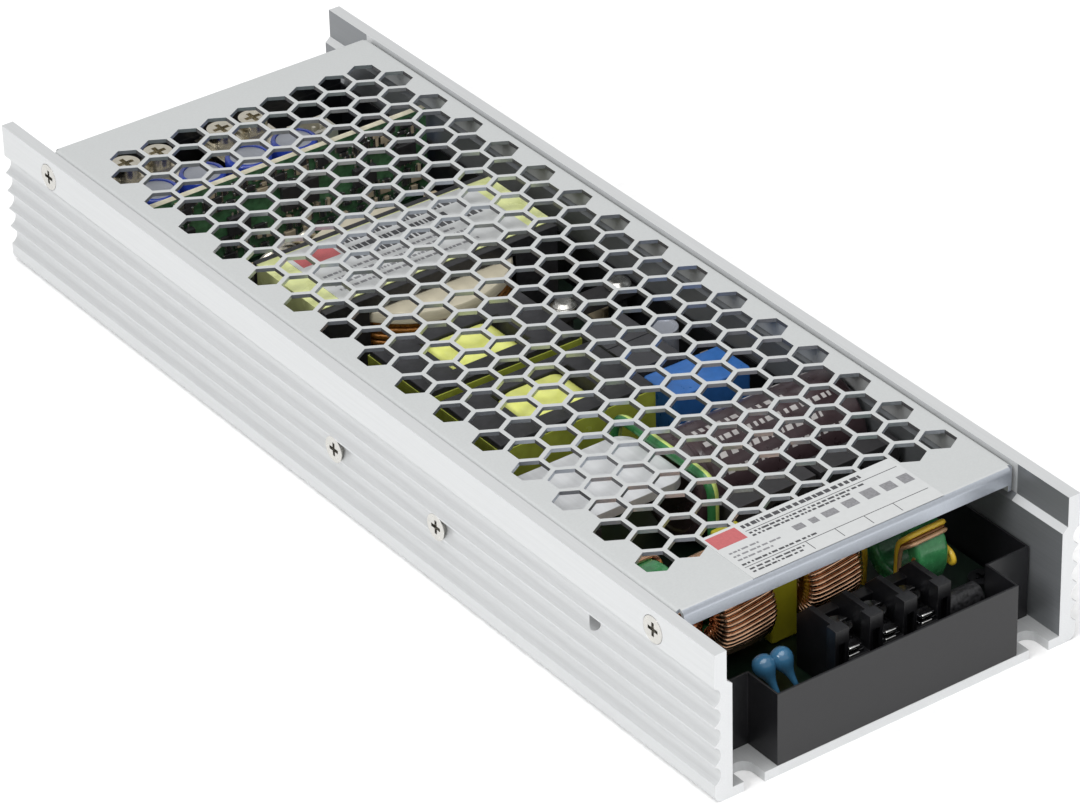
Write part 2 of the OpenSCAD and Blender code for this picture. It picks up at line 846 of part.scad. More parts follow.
// Two halves of turns that fan out from the hole, and four ends
module choke_winding(n, count) {
    color([0.72, 0.42, 0.22]) {
        at_choke(n)
            for (half = [90, 270], i = [0 : count - 1])
                rotate([0, 0, half + (i - count / 2 + turn_gap / 2) * turn_step])
                    rotate_extrude(angle = (1 - turn_gap) * turn_step)
                        turn_section();
        for (s = [-1, 1], t = [-1, 1])
            translate([choke_x[n] + s * (toroid_w + choke_wire) / 2, choke_y[n] + t * lead_y, top_z])
                cylinder(d = choke_wire, h = lead_h);
    }
}

// --------------------------------------------------- high voltage section

module bridge_rectifiers() {
    for (x = rect_x)
        translate([x, rect_y, top_z + rect_lift]) {
            color([0.26, 0.24, 0.24])
                difference() {
                    cube(rect_size);
                    rod_y(rect_bore / 2, -e, rect_size[1] + e, rect_size[0] / 2, 0.72 * rect_size[2]);
                }
            color("silver")
                for (i = [-1.5 : 1.5])
                    translate([rect_size[0] / 2 + i * rect_pitch - pin / 2, rect_size[1] / 2, -rect_lift])
                        cube([pin, pin, rect_lift]);
        }
}

// Outline of the bulk capacitor's can, turned about the Y axis: the
// sleeve laps over both ends and a bead runs round it
module can_outline(r, l, lap) {
    difference() {
        union() {
            square([r - lap, l]);
            translate([0, lap])
                square([r, l - 2 * lap]);
            for (y = [lap, l - lap])
                translate([r - lap, y])
                    circle(r = lap);
        }
        translate([r + 0.4 * lap, 3.4 * lap])
            circle(r = lap);
        for (y = [-1, l - 0.6])
            translate([-e, y])
                square([r - 2.4 * lap, 1.6]);
        translate([-r, -1])
            square([r, l + 2]);
    }
}

module bulk_capacitor() {
    color([0.2, 0.13, 0.12])
        translate([bulk_x, bulk_y, bulk_z])
            rotate([0, 90, 0])
                rotate_extrude($fn = 96)
                    can_outline(bulk_r, bulk_l, 1);
    color("silver")
        for (s = [-1, 1])
            translate([bulk_x, bulk_y + s * bulk_pins / 2, 0])
                block([-pin / 2, -pin / 2, top_z], [pin, pin / 2, bulk_z - 2]);
}

module film_capacitor() {
    color([0.2, 0.36, 0.66])
        round_block(film_at, film_size, 0.8);
}

// Relay with the seam between its case and its base
module relay() {
    seam = 0.3;
    color([0.25, 0.25, 0.26])
        difference() {
            round_block(relay_at, relay_size, 0.6);
            translate([relay_at[0], relay_at[1], top_z + relay_size[2] - seam])
                linear_extrude(1)
                    square([2 * relay_size[0], seam], center = true);
        }
}

module bias_capacitor() {
    rim = 0.75;
    color([0.16, 0.17, 0.2])
        translate([bias_at[0], bias_at[1], top_z])
            difference() {
                cylinder(d = bias_d, h = bias_h);
                translate([0, 0, bias_h - 0.3])
                    cylinder(d = bias_d - 2 * rim, h = 1);
            }
}

// Aluminium angle that stands on the board and carries two devices
module heat_spreader() {
    color("gainsboro")
        difference() {
            union() {
                translate([spread_x, spread_y, top_z])
                    cube([spread_t, spread_l, spread_z - top_z]);
                translate([spread_x, spread_y, spread_z - spread_t])
                    linear_extrude(spread_t) {
                        square([spread_w - spread_r, spread_l]);
                        translate([0, spread_r])
                            square([spread_w, spread_l - 2 * spread_r]);
                        for (y = [spread_r, spread_l - spread_r])
                            translate([spread_w - spread_r, y])
                                circle(r = spread_r);
                    }
            }
            for (y = pack_y)
                rod_x(spread_bore / 2, spread_x - e, spread_x + spread_t + e, y, spread_screw_z);
        }
}

module spreader_devices() {
    face = spread_x + spread_t;
    for (y = pack_y) {
        color([0.12, 0.12, 0.13])
            difference() {
                translate([face, y - pack_w / 2, top_z + pack_lift])
                    cube([pack_t, pack_w, pack_h]);
                rod_x(spread_bore / 2, face - e, face + pack_t + e, y, spread_screw_z);
            }
        color("silver")
            for (i = [-1 : 1])
                translate([face + pack_t / 2, y + i * pack_pitch - pin / 2, top_z])
                    cube([pin, pin, pack_lift]);
    }
}

// Earth wire: up from the board, over the edge of the angle and down
function unit(v) = v / norm(v);
function heading(i) = let (n = len(wire_route))
    unit(wire_route[min(i + 1, n - 1)] - wire_route[max(i - 1, 0)]);
// The route lies in a plane across X, so X is square to every ring
function ring(i, sides) = let (u = [1, 0, 0], v = cross(heading(i), u))
    [for (k = [0 : sides - 1]) let (a = 360 * k / sides)
        wire_route[i] + wire_d / 2 * (cos(a) * u + sin(a) * v)];

module earth_wire() {
    sides = 8;
    n = len(wire_route);
    points = [for (i = [0 : n - 1]) each ring(i, sides)];
    walls = [for (i = [0 : n - 2], k = [0 : sides - 1]) let (j = (k + 1) % sides)
        [i * sides + k, (i + 1) * sides + k, (i + 1) * sides + j, i * sides + j]];
    first = [for (k = [0 : sides - 1]) k];
    last = [for (k = [sides - 1 : -1 : 0]) (n - 1) * sides + k];
    color("yellowgreen")
        polyhedron(points, concat([first], walls, [last]));
}

// --------------------------------------------- devices on the left wall

module transistor_pads() {
    color([0.75, 0.78, 0.8])
        for (y = device_screw_y)
            difference() {
                block([device_x - pad_t, y - device_w / 2 - pad_rim, pad_z[0]],
                    [device_x, y + device_w / 2 + pad_rim, pad_z[1]]);
                rod_x(device_bore, device_x - 1, device_x + 1, y, device_screw_z);
            }
}

module power_transistors() {
    for (y = device_screw_y) {
        color([0.12, 0.12, 0.13])
            difference() {
                translate([device_x, y - device_w / 2, top_z + device_lift])
                    cube([device_t, device_w, device_h]);
                rod_x(device_bore, device_x - e, device_x + device_t + e, y, device_screw_z);
            }
        color("silver")
            for (i = [-1 : 1])
                translate([device_x + device_t / 2, y + i * device_pitch - pin, top_z])
                    cube([pin, 2 * pin, device_lift]);
    }
}

// -------------------------------------------------------------- magnetics

// Inductor core: a block with a window from top to bottom, crossed by
// the middle post
module inductor_core(n) {
    color([0.16, 0.16, 0.18])
        translate([ind_x, ind_y[n], top_z + seat])
            difference() {
                translate([-ind_w / 2, -ind_l / 2, 0])
                    cube([ind_w, ind_l, ind_h - seat]);
                difference() {
                    translate([-ind_win_w / 2, -ind_win_l / 2, -e])
                        cube([ind_win_w, ind_win_l, ind_h + 1]);
                    inductor_post(0);
                }
            }
}

// Middle post of an inductor core, larger by d
module inductor_post(d) {
    translate([-ind_post_w / 2 - d, -ind_win_l, ind_post_z[0] - d])
        cube([ind_post_w + 2 * d, 2 * ind_win_l, ind_post_z[1] - ind_post_z[0] + 2 * d]);
}

module inductor_coil(n) {
    color([0.88, 0.9, 0.4])
        translate([ind_x, ind_y[n], top_z + seat])
            difference() {
                rotate([90, 0, 0])
                    translate([0, (ind_post_z[0] + ind_post_z[1]) / 2, 0])
                        linear_extrude(ind_win_l - 2 * coil_gap, center = true)
                            round_rect(ind_win_w - 2 * coil_gap, coil_h, coil_r);
                inductor_post(coil_gap);
            }
}

module inductor_tape(n) {
    color([0.55, 0.55, 0.2])
        translate([ind_x, ind_y[n], top_z + seat + tape_rim])
            linear_extrude(ind_h - seat - 2 * tape_rim)
                difference() {
                    square([ind_w + 2 * tape_t, ind_l + 2 * tape_t], center = true);
                    square([ind_w, ind_l], center = true);
                }
}

// Transformer core: two plates, two curved outer legs and a round post
module transformer_core() {
    color([0.16, 0.16, 0.18])
        translate([tx_x, tx_y, top_z + seat])
            difference() {
                translate([-tx_w / 2, -tx_l / 2, 0])
                    cube([tx_w, tx_l, tx_h - seat]);
                translate([0, 0, tx_plate - seat])
                    linear_extrude(tx_h - 2 * tx_plate)
                        difference() {
                            circle(d = tx_coil_d + 2 * tx_room);
                            circle(d = tx_post_d);
                        }
            }
}

module transformer_coil() {
    color([0.86, 0.83, 0.74])
        translate([tx_x, tx_y, top_z + tx_plate + coil_gap])
            linear_extrude(tx_h - 2 * tx_plate - 2 * coil_gap, $fn = 96)
                difference() {
                    circle(d = tx_coil_d);
                    circle(d = tx_post_d + 2 * coil_gap);
                }
}

// Tape over the top and down both ends of the transformer's core
module transformer_tape() {
    l = tx_l - 2 * tx_tape_rim;
    color([0.86, 0.88, 0.6])
        translate([tx_x, tx_y, top_z + seat + tape_rim])
            difference() {
                translate([-tx_w / 2 - tape_t, -l / 2, 0])
                    cube([tx_w + 2 * tape_t, l, tx_h - seat - tape_rim + tape_t]);
                translate([-tx_w / 2, -l, -tx_h])
                    cube([tx_w, 2 * l, 2 * tx_h - seat - tape_rim]);
            }
}

module transformer_label() {
    color("whitesmoke")
        translate([tx_x, tx_y, top_z + tx_h + tape_t])
            linear_extrude(label_t)
                square([tx_label_w, tx_l - 2 * tx_tape_rim - 1], center = true);
}

// Leads that turn out of the coil and down into the board, each a little
// further from the coil than the last
module transformer_leads() {
    z = leads_h + leads_bend;
    color([0.55, 0.32, 0.12])
        for (i = [0 : leads_n - 1]) {
            x = leads_x + i * leads_pitch;
            reach = sqrt(pow(tx_coil_d / 2 + seat, 2) - pow(abs(x - tx_x) - leads_d / 2, 2));
            translate([x, tx_y - reach - leads_bend, top_z]) {
                cylinder(d = leads_d, h = leads_h);
                translate([0, leads_bend, leads_h])
                    rotate([90, 0, -90])
                        rotate_extrude(angle = 90)
                            translate([leads_bend, 0])
                                circle(d = leads_d, $fn = 24);
            }
        }
}

// ---------------------------------------------------------- output section

module daughter_board() {
    color([0.1, 0.3, 0.16])
        translate([daughter_x[0], daughter_y, top_z])
            cube([daughter_x[1] - daughter_x[0], daughter_t, daughter_h]);
}

// Rows of small parts on the face that looks at the transformer
module daughter_parts() {
    w = daughter_x[1] - daughter_x[0];
    color([0.2, 0.19, 0.18])
        for (row = daughter_rows) {
            n = floor((w - 6) / row[0]);
            for (i = [0 : n - 1])
                translate([daughter_x[0] + w / 2 + (i - (n - 1) / 2) * row[0], daughter_y,
                    top_z + row[4] * daughter_h])
                    translate([-row[1] / 2, -row[3], -row[2] / 2])
                        cube([row[1], row[3], row[2]]);
        }
}

// Cans with a bead near the foot
module output_capacitors() {
    color("silver")
        for (i = [0 : out_cap_n - 1])
            translate([can_mid + (i - (out_cap_n - 1) / 2) * out_cap_pitch, can_y, top_z])
                difference() {
                    cylinder(d = out_cap_d, h = out_cap_h);
                    translate([0, 0, can_bead_z])
                        rotate_extrude()
                            translate([out_cap_d / 2 + can_bead / 2, 0])
                                circle(r = can_bead, $fn = 24);
                }
}

// Two angles of tinned copper, each on two posts
module output_busbars() {
    z = top_z + post_h;
    color([0.86, 0.83, 0.76])
        for (s = [0, 2]) {
            x0 = post_x[s] - bar_rim;
            x1 = post_x[s + 1] + bar_rim;
            difference() {
                block([x0, bar_y, z], [x1, post_y + bar_rim, z + bar_t]);
                for (i = [s, s + 1])
                    translate([post_x[i], post_y, z - e])
                        cylinder(d = post_bore + 2 * screw_clear, h = bar_t + 2 * e);
            }
            block([x0, bar_y, top_z], [x1, bar_y + bar_t, z]);
        }
}

module output_posts() {
    color([0.8, 0.72, 0.45])
        for (x = post_x)
            translate([x, post_y, top_z])
                linear_extrude(post_h)
                    difference() {
                        circle(d = post_af / cos(30), $fn = 6);
                        circle(d = post_bore);
                    }
}

// Pan head screws with square washers
module output_screws() {
    color([0.85, 0.83, 0.74])
        for (x = post_x)
            translate([x, post_y, top_z + post_h + bar_t]) {
                translate([0, 0, -post_h])
                    cylinder(d = post_bore - 2 * screw_clear, h = post_h + e);
                linear_extrude(washer_t)
                    square(washer_w, center = true);
                translate([0, 0, washer_t])
                    difference() {
                        cylinder(d = out_head, h = out_head_h);
                        for (a = [0, 90])
                            rotate([0, 0, a])
                                translate([0, 0, out_head_h])
                                    cube([0.6 * out_head, 1, out_head_h], center = true);
                    }
            }
}

module trimmer() {
    color([0.2, 0.4, 0.75])
        translate([trimmer_at[0], trimmer_at[1], top_z])
            difference() {
                translate([-trimmer_w / 2, -trimmer_w / 2, 0])
                    cube([trimmer_w, trimmer_w, trimmer_h]);
                translate([0, 0, trimmer_h - 0.8])
                    cylinder(d = trimmer_w / 2, h = 1);
            }
}

module indicator() {
    color("limegreen")
        translate([led_at[0], led_at[1], top_z]) {
            cylinder(d = led_d, h = led_h);
            cylinder(d = led_d + 0.8, h = 1);
        }
}

// Open box with two rows of pins
module signal_connector() {
    translate([plug_at[0], plug_at[1], top_z]) {
        color("ivory")
            difference() {
                cube(plug_size);
                translate([plug_wall, plug_wall, plug_wall])
                    cube(plug_size - [2 * plug_wall, 2 * plug_wall, 0]);
            }
        color("gold")
            for (i = [0 : plug_pins - 1], j = [0, 1])
                translate([plug_size[0] / 2 + (i - (plug_pins - 1) / 2) * plug_pitch - pin / 2,
                    plug_size[1] / 2 + (j - 0.5) * plug_pitch - pin / 2, plug_wall])
                    cube([pin, pin, plug_size[2] - 2 * plug_wall]);
    }
}

// Small parts of the main board
module small_parts() {
    color([0.7, 0.6, 0.4])
        for (c = chips)
            translate([c[0][0] * across, c[0][1] * along, top_z])
                cube(c[1]);
}

// ------------------------------------------------------------------ output

chassis();
cover();
cover_label();
cover_screws();
device_screws();
insulation_tray();
main_board();
standoffs();
board_screws();
terminal_block();
terminal_clamps();
terminal_screws();
input_fuse();
y_capacitors();
x_capacitor();
choke_core(0);  // choke_core_1
choke_winding(0, turns);  // choke_winding_1
choke_core(1);  // choke_core_2
choke_winding(1, turns);  // choke_winding_2
choke_core(2);  // choke_core_3
choke_winding(2, bare_turns);  // choke_winding_3
choke_core(3);  // choke_core_4
choke_winding(3, turns);  // choke_winding_4
bridge_rectifiers();
bulk_capacitor();
film_capacitor();
relay();
bias_capacitor();
heat_spreader();
spreader_devices();
earth_wire();
power_transistors();
transistor_pads();
inductor_core(0);  // inductor_core_1
inductor_coil(0);  // inductor_coil_1
inductor_tape(0);  // inductor_tape_1
inductor_core(1);  // inductor_core_2
inductor_coil(1);  // inductor_coil_2
inductor_tape(1);  // inductor_tape_2
transformer_core();
transformer_coil();
transformer_tape();
transformer_label();
transformer_leads();
daughter_board();
daughter_parts();
output_capacitors();
output_busbars();
output_posts();
output_screws();
trimmer();
indicator();
signal_connector();
small_parts();
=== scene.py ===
import math
import random

import bmesh
import bpy
from mathutils import Matrix, Vector


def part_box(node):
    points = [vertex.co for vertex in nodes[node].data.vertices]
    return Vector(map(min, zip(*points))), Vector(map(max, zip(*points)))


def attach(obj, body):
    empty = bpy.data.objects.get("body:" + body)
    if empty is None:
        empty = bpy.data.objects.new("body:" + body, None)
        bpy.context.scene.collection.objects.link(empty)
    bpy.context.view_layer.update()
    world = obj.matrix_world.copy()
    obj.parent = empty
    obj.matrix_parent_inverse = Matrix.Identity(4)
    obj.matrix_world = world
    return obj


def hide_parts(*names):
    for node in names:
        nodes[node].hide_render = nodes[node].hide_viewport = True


MM = 0.001
UP = Vector((0, 0, 1))
SHARP = 32  # degrees: an edge that folds more than this is a sharp one
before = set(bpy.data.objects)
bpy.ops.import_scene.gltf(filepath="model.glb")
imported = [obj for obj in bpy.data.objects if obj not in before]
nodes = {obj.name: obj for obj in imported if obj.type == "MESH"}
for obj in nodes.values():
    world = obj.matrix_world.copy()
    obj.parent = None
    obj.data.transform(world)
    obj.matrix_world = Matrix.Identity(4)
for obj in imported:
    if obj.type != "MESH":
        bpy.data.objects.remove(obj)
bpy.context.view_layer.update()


# ------------------------------------------------------------ camera, light


def toward(azimuth, elevation):
    """A direction from the middle of the object: degrees round from its input end, and up."""
    a, e = math.radians(azimuth), math.radians(elevation)
    return Vector((math.sin(a) * math.cos(e), -math.cos(a) * math.cos(e), math.sin(e)))


def add_camera():
    away = toward(azimuth=-35.116, elevation=32.269)
    roll = math.radians(1.582)
    distance = 970.87 * MM
    target = Vector((-2.09, -12.62, 15)) * MM
    camera = bpy.data.cameras.new("camera")
    camera.sensor_fit = "HORIZONTAL"
    camera.sensor_width = 36
    camera.lens = 173.26
    camera.clip_start = 0.05
    camera.clip_end = 20
    holder = bpy.data.objects.new("camera", camera)
    bpy.context.scene.collection.objects.link(holder)
    turned = away.to_track_quat("Z", "Y").to_matrix() @ Matrix.Rotation(-roll, 3, "Z")
    holder.matrix_world = Matrix.Translation(target + distance * away) @ turned.to_4x4()
    bpy.context.scene.camera = holder


def add_area_light(name, azimuth, elevation, size, power, distance=1.4):
    away = toward(azimuth, elevation)
    light = bpy.data.lights.new(name, "AREA")
    light.shape = "DISK"
    light.size = size
    light.energy = power
    holder = bpy.data.objects.new(name, light)
    bpy.context.scene.collection.objects.link(holder)
    turned = away.to_track_quat("Z", "Y").to_matrix().to_4x4()
    holder.matrix_world = Matrix.Translation(distance * away) @ turned


def add_studio():
    add_camera()
    world = bpy.data.worlds.new("studio")
    world.use_nodes = True
    sky = world.node_tree.nodes["Background"]
    sky.inputs["Color"].default_value = (1, 1, 1, 1)
    sky.inputs["Strength"].default_value = 0.62
    bpy.context.scene.world = world
    bpy.context.scene.view_settings.view_transform = "Standard"
    add_area_light("key", azimuth=-78, elevation=36, size=0.6, power=8)
    add_area_light("top", azimuth=-40, elevation=78, size=1.3, power=12)
    bm = bmesh.new()
    bmesh.ops.create_grid(bm, x_segments=1, y_segments=1, size=4)
    floor = keep(bm, "floor", finish("floor_paper", (0.95, 0.95, 0.95), roughness=0.9), smooth=False)


# ---------------------------------------------------------------- materials


def finish(name, color, roughness=0.4, metallic=0.0, tint=0.05, grain=400, stretch=(1, 1, 1),
           bump=0.05, coat=0.0, spread=0.08):
    """A surface whose colour, gloss and relief vary a little with a noise in the piece's own space."""
    made = bpy.data.materials.new(name)
    made.use_nodes = True
    tree = made.node_tree
    shader = tree.nodes["Principled BSDF"]
    shader.inputs["Metallic"].default_value = metallic
    shader.inputs["Coat Weight"].default_value = coat
    place = tree.nodes.new("ShaderNodeTexCoord")
    mapping = tree.nodes.new("ShaderNodeMapping")
    mapping.inputs["Scale"].default_value = stretch
    noise = tree.nodes.new("ShaderNodeTexNoise")
    noise.inputs["Scale"].default_value = grain
    noise.inputs["Detail"].default_value = 4
    tree.links.new(place.outputs["Object"], mapping.inputs["Vector"])
    tree.links.new(mapping.outputs["Vector"], noise.inputs["Vector"])
    ramp = tree.nodes.new("ShaderNodeValToRGB")
    ramp.color_ramp.elements[0].position = 0.3
    ramp.color_ramp.elements[1].position = 0.7
    ramp.color_ramp.elements[0].color = (*(c * (1 - tint) for c in color), 1)
    ramp.color_ramp.elements[1].color = (*(min(1, c * (1 + tint)) for c in color), 1)
    tree.links.new(noise.outputs["Fac"], ramp.inputs["Fac"])
    tree.links.new(ramp.outputs["Color"], shader.inputs["Base Color"])
    gloss = tree.nodes.new("ShaderNodeMapRange")
    gloss.inputs["To Min"].default_value = max(0.02, roughness - spread)
    gloss.inputs["To Max"].default_value = min(1, roughness + spread)
    tree.links.new(noise.outputs["Fac"], gloss.inputs["Value"])
    tree.links.new(gloss.outputs["Result"], shader.inputs["Roughness"])
    relief = tree.nodes.new("ShaderNodeBump")
    relief.inputs["Strength"].default_value = bump
    relief.inputs["Distance"].default_value = 0.2 * MM
    tree.links.new(noise.outputs["Fac"], relief.inputs["Height"])
    tree.links.new(relief.outputs["Normal"], shader.inputs["Normal"])
    return made


ALONG = (1, 0.02, 1)  # stretches a grain along the channel

METAL = finish("channel_anodised", (0.56, 0.57, 0.575), 0.40, 0.3, tint=0.03, grain=3000,
               stretch=ALONG, bump=0.04)
SAWN = finish("channel_sawn_end", (0.74, 0.75, 0.76), 0.36, 0.3, tint=0.05, grain=2500,
              stretch=(1, 1, 6), bump=0.05)
# Painted shade: the channel's inner faces are the same aluminium, coloured darker for the shade inside the
# channel.
INSIDE_SHADE = finish("channel_inside_painted_shade", (0.21, 0.22, 0.23), 0.38, 0.5, tint=0.05, grain=2500, stretch=ALONG,
                bump=0.04)
SHEET = finish("cover_sheet", (0.545, 0.56, 0.56), 0.46, 0.35, tint=0.03, grain=2500, bump=0.03)
# Painted shade: the walls of the cover's holes are coloured dark for the shade inside them.
HOLE_WALL_SHADE = finish("cover_hole_walls_painted_shade", (0.16, 0.16, 0.165), 0.45, 0.7, tint=0.2, grain=4000)
FOLD = finish("cover_fold", (0.50, 0.535, 0.59), 0.34, 0.8, tint=0.04, grain=2500, bump=0.03)
PAPER = finish("label_paper", (0.50, 0.51, 0.51), 0.5, tint=0.02, grain=900, bump=0.02)
INK = finish("label_ink", (0.05, 0.05, 0.055), 0.6, tint=0.2, grain=3000)
GREY_INK = finish("label_grey_ink", (0.20, 0.20, 0.21), 0.6, tint=0.2, grain=3000)
RED = finish("label_red", (0.42, 0.10, 0.105), 0.6, tint=0.1, grain=3000)
STEEL = finish("screw_nickel", (0.56, 0.55, 0.52), 0.26, 1.0, grain=900)
DARK_STEEL = finish("screw_dark", (0.10, 0.10, 0.11), 0.3, 1.0, grain=900)
# Painted shade: the terminal screws are nickel like the others, coloured darker for the shade of the black
# block round them.
SHADED_SCREW = finish("screw_nickel_painted_shade", (0.34, 0.34, 0.35), 0.2, 1.0, grain=900)
BLACK_SHEET = finish("tray_sheet", (0.0075, 0.0075, 0.009), 0.36, tint=0.15, grain=700, bump=0.06)
BOARD = finish("board_mask", (0.005, 0.014, 0.008), 0.35, tint=0.3, grain=500, bump=0.08)
DAUGHTER = finish("daughter_mask", (0.065, 0.18, 0.08), 0.32, tint=0.35, grain=900, bump=0.08)
RAW_EDGE = finish("board_edge", (0.62, 0.58, 0.44), 0.6, tint=0.1, grain=900)
BLOCK = finish("terminal_plastic", (0.005, 0.005, 0.006), 0.32, tint=0.2, grain=600, bump=0.015,
               spread=0.04)
SLEEVE = finish("fuse_sleeve", (0.022, 0.022, 0.024), 0.34, tint=0.8, grain=1400, bump=0.4)
BLUE_RESIN = finish("disc_resin", (0.045, 0.16, 0.29), 0.22, tint=0.08, grain=300, coat=0.5)
OLIVE = finish("box_capacitor", (0.44, 0.40, 0.02), 0.36, tint=0.06, grain=500)
GREEN = finish("core_paint", (0.045, 0.24, 0.085), 0.26, tint=0.2, grain=700, bump=0.15, coat=0.3)
COPPER = finish("wire_enamel", (0.80, 0.48, 0.30), 0.15, 1.0, tint=0.15, grain=900, coat=0.4)
# Painted shade: the lower layers are the same enamelled copper, coloured dark for the shade between the
# turns.
SHADED_COPPER = finish("lower_layers_painted_shade", (0.16, 0.07, 0.04), 0.35, 0.5, tint=0.3, grain=1500, bump=0.3)
YELLOW_WIRE = finish("wire_yellow", (0.78, 0.52, 0.04), 0.3, tint=0.06, coat=0.2)
BROWN_WIRE = finish("wire_brown", (0.20, 0.08, 0.02), 0.25, 0.4, tint=0.1, coat=0.2)
TAN_WIRE = finish("wire_tan", (0.62, 0.38, 0.22), 0.25, 0.4, tint=0.1, coat=0.2)
DARK = finish("dark_case", (0.030, 0.029, 0.031), 0.4, tint=0.15, grain=900, bump=0.08)
BROWN_SLEEVE = finish("capacitor_sleeve", (0.052, 0.032, 0.036), 0.3, tint=0.12, grain=700, bump=0.05,
                      coat=0.2)
PALE_PRINT = finish("pale_print", (0.48, 0.46, 0.45), 0.5, tint=0.1)
BLUE_BOX = finish("film_box", (0.035, 0.15, 0.45), 0.3, tint=0.1, grain=600)
GREY_BOX = finish("relay_case", (0.045, 0.045, 0.050), 0.4, tint=0.1, grain=800)
CAN = finish("can_aluminium", (0.40, 0.42, 0.47), 0.34, 0.25, tint=0.04, grain=2000)
BLUE_SLEEVE = finish("can_sleeve", (0.030, 0.065, 0.40), 0.25, tint=0.1, grain=700, coat=0.3)
PALE_METAL = finish("spreader_metal", (0.66, 0.67, 0.68), 0.45, 0.3, tint=0.04, grain=1500, stretch=ALONG)
PAD = finish("pad_rubber", (0.40, 0.42, 0.44), 0.7, tint=0.05)
FERRITE = finish("ferrite", (0.020, 0.020, 0.023), 0.46, tint=0.3, grain=900, bump=0.15)
YELLOW_TAPE = finish("coil_tape", (0.72, 0.75, 0.20), 0.22, tint=0.08, grain=300, bump=0.12, coat=0.3)
OLIVE_TAPE = finish("core_tape", (0.34, 0.38, 0.055), 0.24, tint=0.15, grain=300, bump=0.1, coat=0.3)
CREAM = finish("coil_cream", (0.60, 0.55, 0.42), 0.33, tint=0.08, grain=300, stretch=(1, 1, 8), bump=0.15)
PALE_TAPE = finish("transformer_tape", (0.66, 0.70, 0.32), 0.26, tint=0.05, grain=300, coat=0.2)
LITZ = finish("litz_wire", (0.30, 0.12, 0.02), 0.3, 0.5, tint=0.3, grain=2500, bump=0.3)
TINNED = finish("tinned_copper", (0.70, 0.66, 0.56), 0.24, 1.0, tint=0.08, grain=700, bump=0.08)
# Painted shade: the tinned clamp plates are coloured dark for the shade inside the terminal block.
SHADED_TIN = finish("clamp_tin_painted_shade", (0.16, 0.16, 0.17), 0.22, 1.0, tint=0.1, grain=900)
BRASS = finish("post_brass", (0.60, 0.48, 0.24), 0.3, 1.0)
TRIM_BLUE = finish("trimmer_blue", (0.04, 0.16, 0.50), 0.35, tint=0.05)
LIME = finish("indicator_lens", (0.10, 0.50, 0.10), 0.2, tint=0.05, coat=0.5)
IVORY = finish("connector_ivory", (0.78, 0.75, 0.64), 0.4, tint=0.04)
CERAMIC = finish("small_ceramic", (0.48, 0.40, 0.28), 0.4, tint=0.3, grain=300)
SOLDER = finish("solder", (0.75, 0.75, 0.74), 0.22, 1.0, tint=0.1, grain=900, bump=0.2)


# ------------------------------------------------------------------ helpers


def keep(bm, name, material, smooth=True):
    """Turns a bmesh into an object at the origin, its place in its mesh."""
    mesh = bpy.data.meshes.new(name)
    bm.to_mesh(mesh)
    bm.free()
    for face in mesh.polygons:
        face.use_smooth = smooth
    mesh.materials.append(material)
    piece = bpy.data.objects.new(name, mesh)
    bpy.context.scene.collection.objects.link(piece)
    return piece


def mount(piece, slot, *replaced):
    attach(piece, "root")
    if replaced:
        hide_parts(*replaced)
    return piece


def round_edges(piece, width, segments=2):
    bevel = piece.modifiers.new("edges", "BEVEL")
    bevel.width = width * MM
    bevel.segments = segments
    bevel.limit_method = "ANGLE"
    bevel.angle_limit = math.radians(SHARP)
    bevel.harden_normals = True
    return piece


def split_by_angle(bm, limit=SHARP):
    for edge in bm.edges:
        edge.smooth = len(edge.link_faces) == 2 and edge.calc_face_angle(0) < math.radians(limit)


def softened(node, width, material, slot, segments=2, accents=(), cuts=()):
    """A copy of a CAD node with its edges rounded, in the node's place.
    Each accent is a material and a test on a face's middle, in mm, and normal.
    Long faces are parted at the cuts, which are places along Y in mm."""
    bm = bmesh.new()
    bm.from_mesh(nodes[node].data)
    bmesh.ops.remove_doubles(bm, verts=bm.verts, dist=0.001 * MM)
    bmesh.ops.dissolve_limit(bm, angle_limit=math.radians(0.5), verts=bm.verts, edges=bm.edges)
    for y in cuts:
        bmesh.ops.bisect_plane(bm, geom=bm.verts[:] + bm.edges[:] + bm.faces[:], dist=0.001 * MM,
                               plane_co=(0, y * MM, 0), plane_no=(0, 1, 0))
    split_by_angle(bm)
    for face in bm.faces:
        face.material_index = 0
        middle = face.calc_center_median() / MM
        for i, (_, test) in enumerate(accents, 1):
            if test(middle, face.normal):
                face.material_index = i
    piece = keep(bm, node + "_body", material)
    for accent, _ in accents:
        piece.data.materials.append(accent)
    round_edges(piece, width, segments)
    return mount(piece, slot, node)


def dress(node, material):
    mesh = nodes[node].data
    mesh.materials.clear()
    mesh.materials.append(material)


def box_in(bm, low, high, bevel=0.0, segments=2):
    """Adds a box between two corners, in mm, its edges rounded by bevel."""
    made = bmesh.ops.create_cube(bm, size=1)["verts"]
    size = [(b - a) * MM for a, b in zip(low, high)]
    middle = [(a + b) / 2 * MM for a, b in zip(low, high)]
    bmesh.ops.scale(bm, vec=size, verts=made)
    bmesh.ops.translate(bm, vec=middle, verts=made)
    if bevel:
        edges = list({e for v in made for e in v.link_edges})
        bmesh.ops.bevel(bm, geom=edges, offset=bevel * MM, offset_type="OFFSET", segments=segments,
                        profile=0.5, affect="EDGES", material=-1, clamp_overlap=True)


def rod_in(bm, base, axis, radius, length, sides=24, tip=None):
    """Adds a rod from base along axis, in mm, with another radius at its tip if given."""
    turned = Vector(axis).to_track_quat("Z", "Y").to_matrix().to_4x4()
    middle = Vector(base) + Vector(axis).normalized() * length / 2
    bmesh.ops.create_cone(bm, cap_ends=True, segments=sides, radius1=radius * MM,
                          radius2=(radius if tip is None else tip) * MM, depth=length * MM,
                          matrix=Matrix.Translation(middle * MM) @ turned)


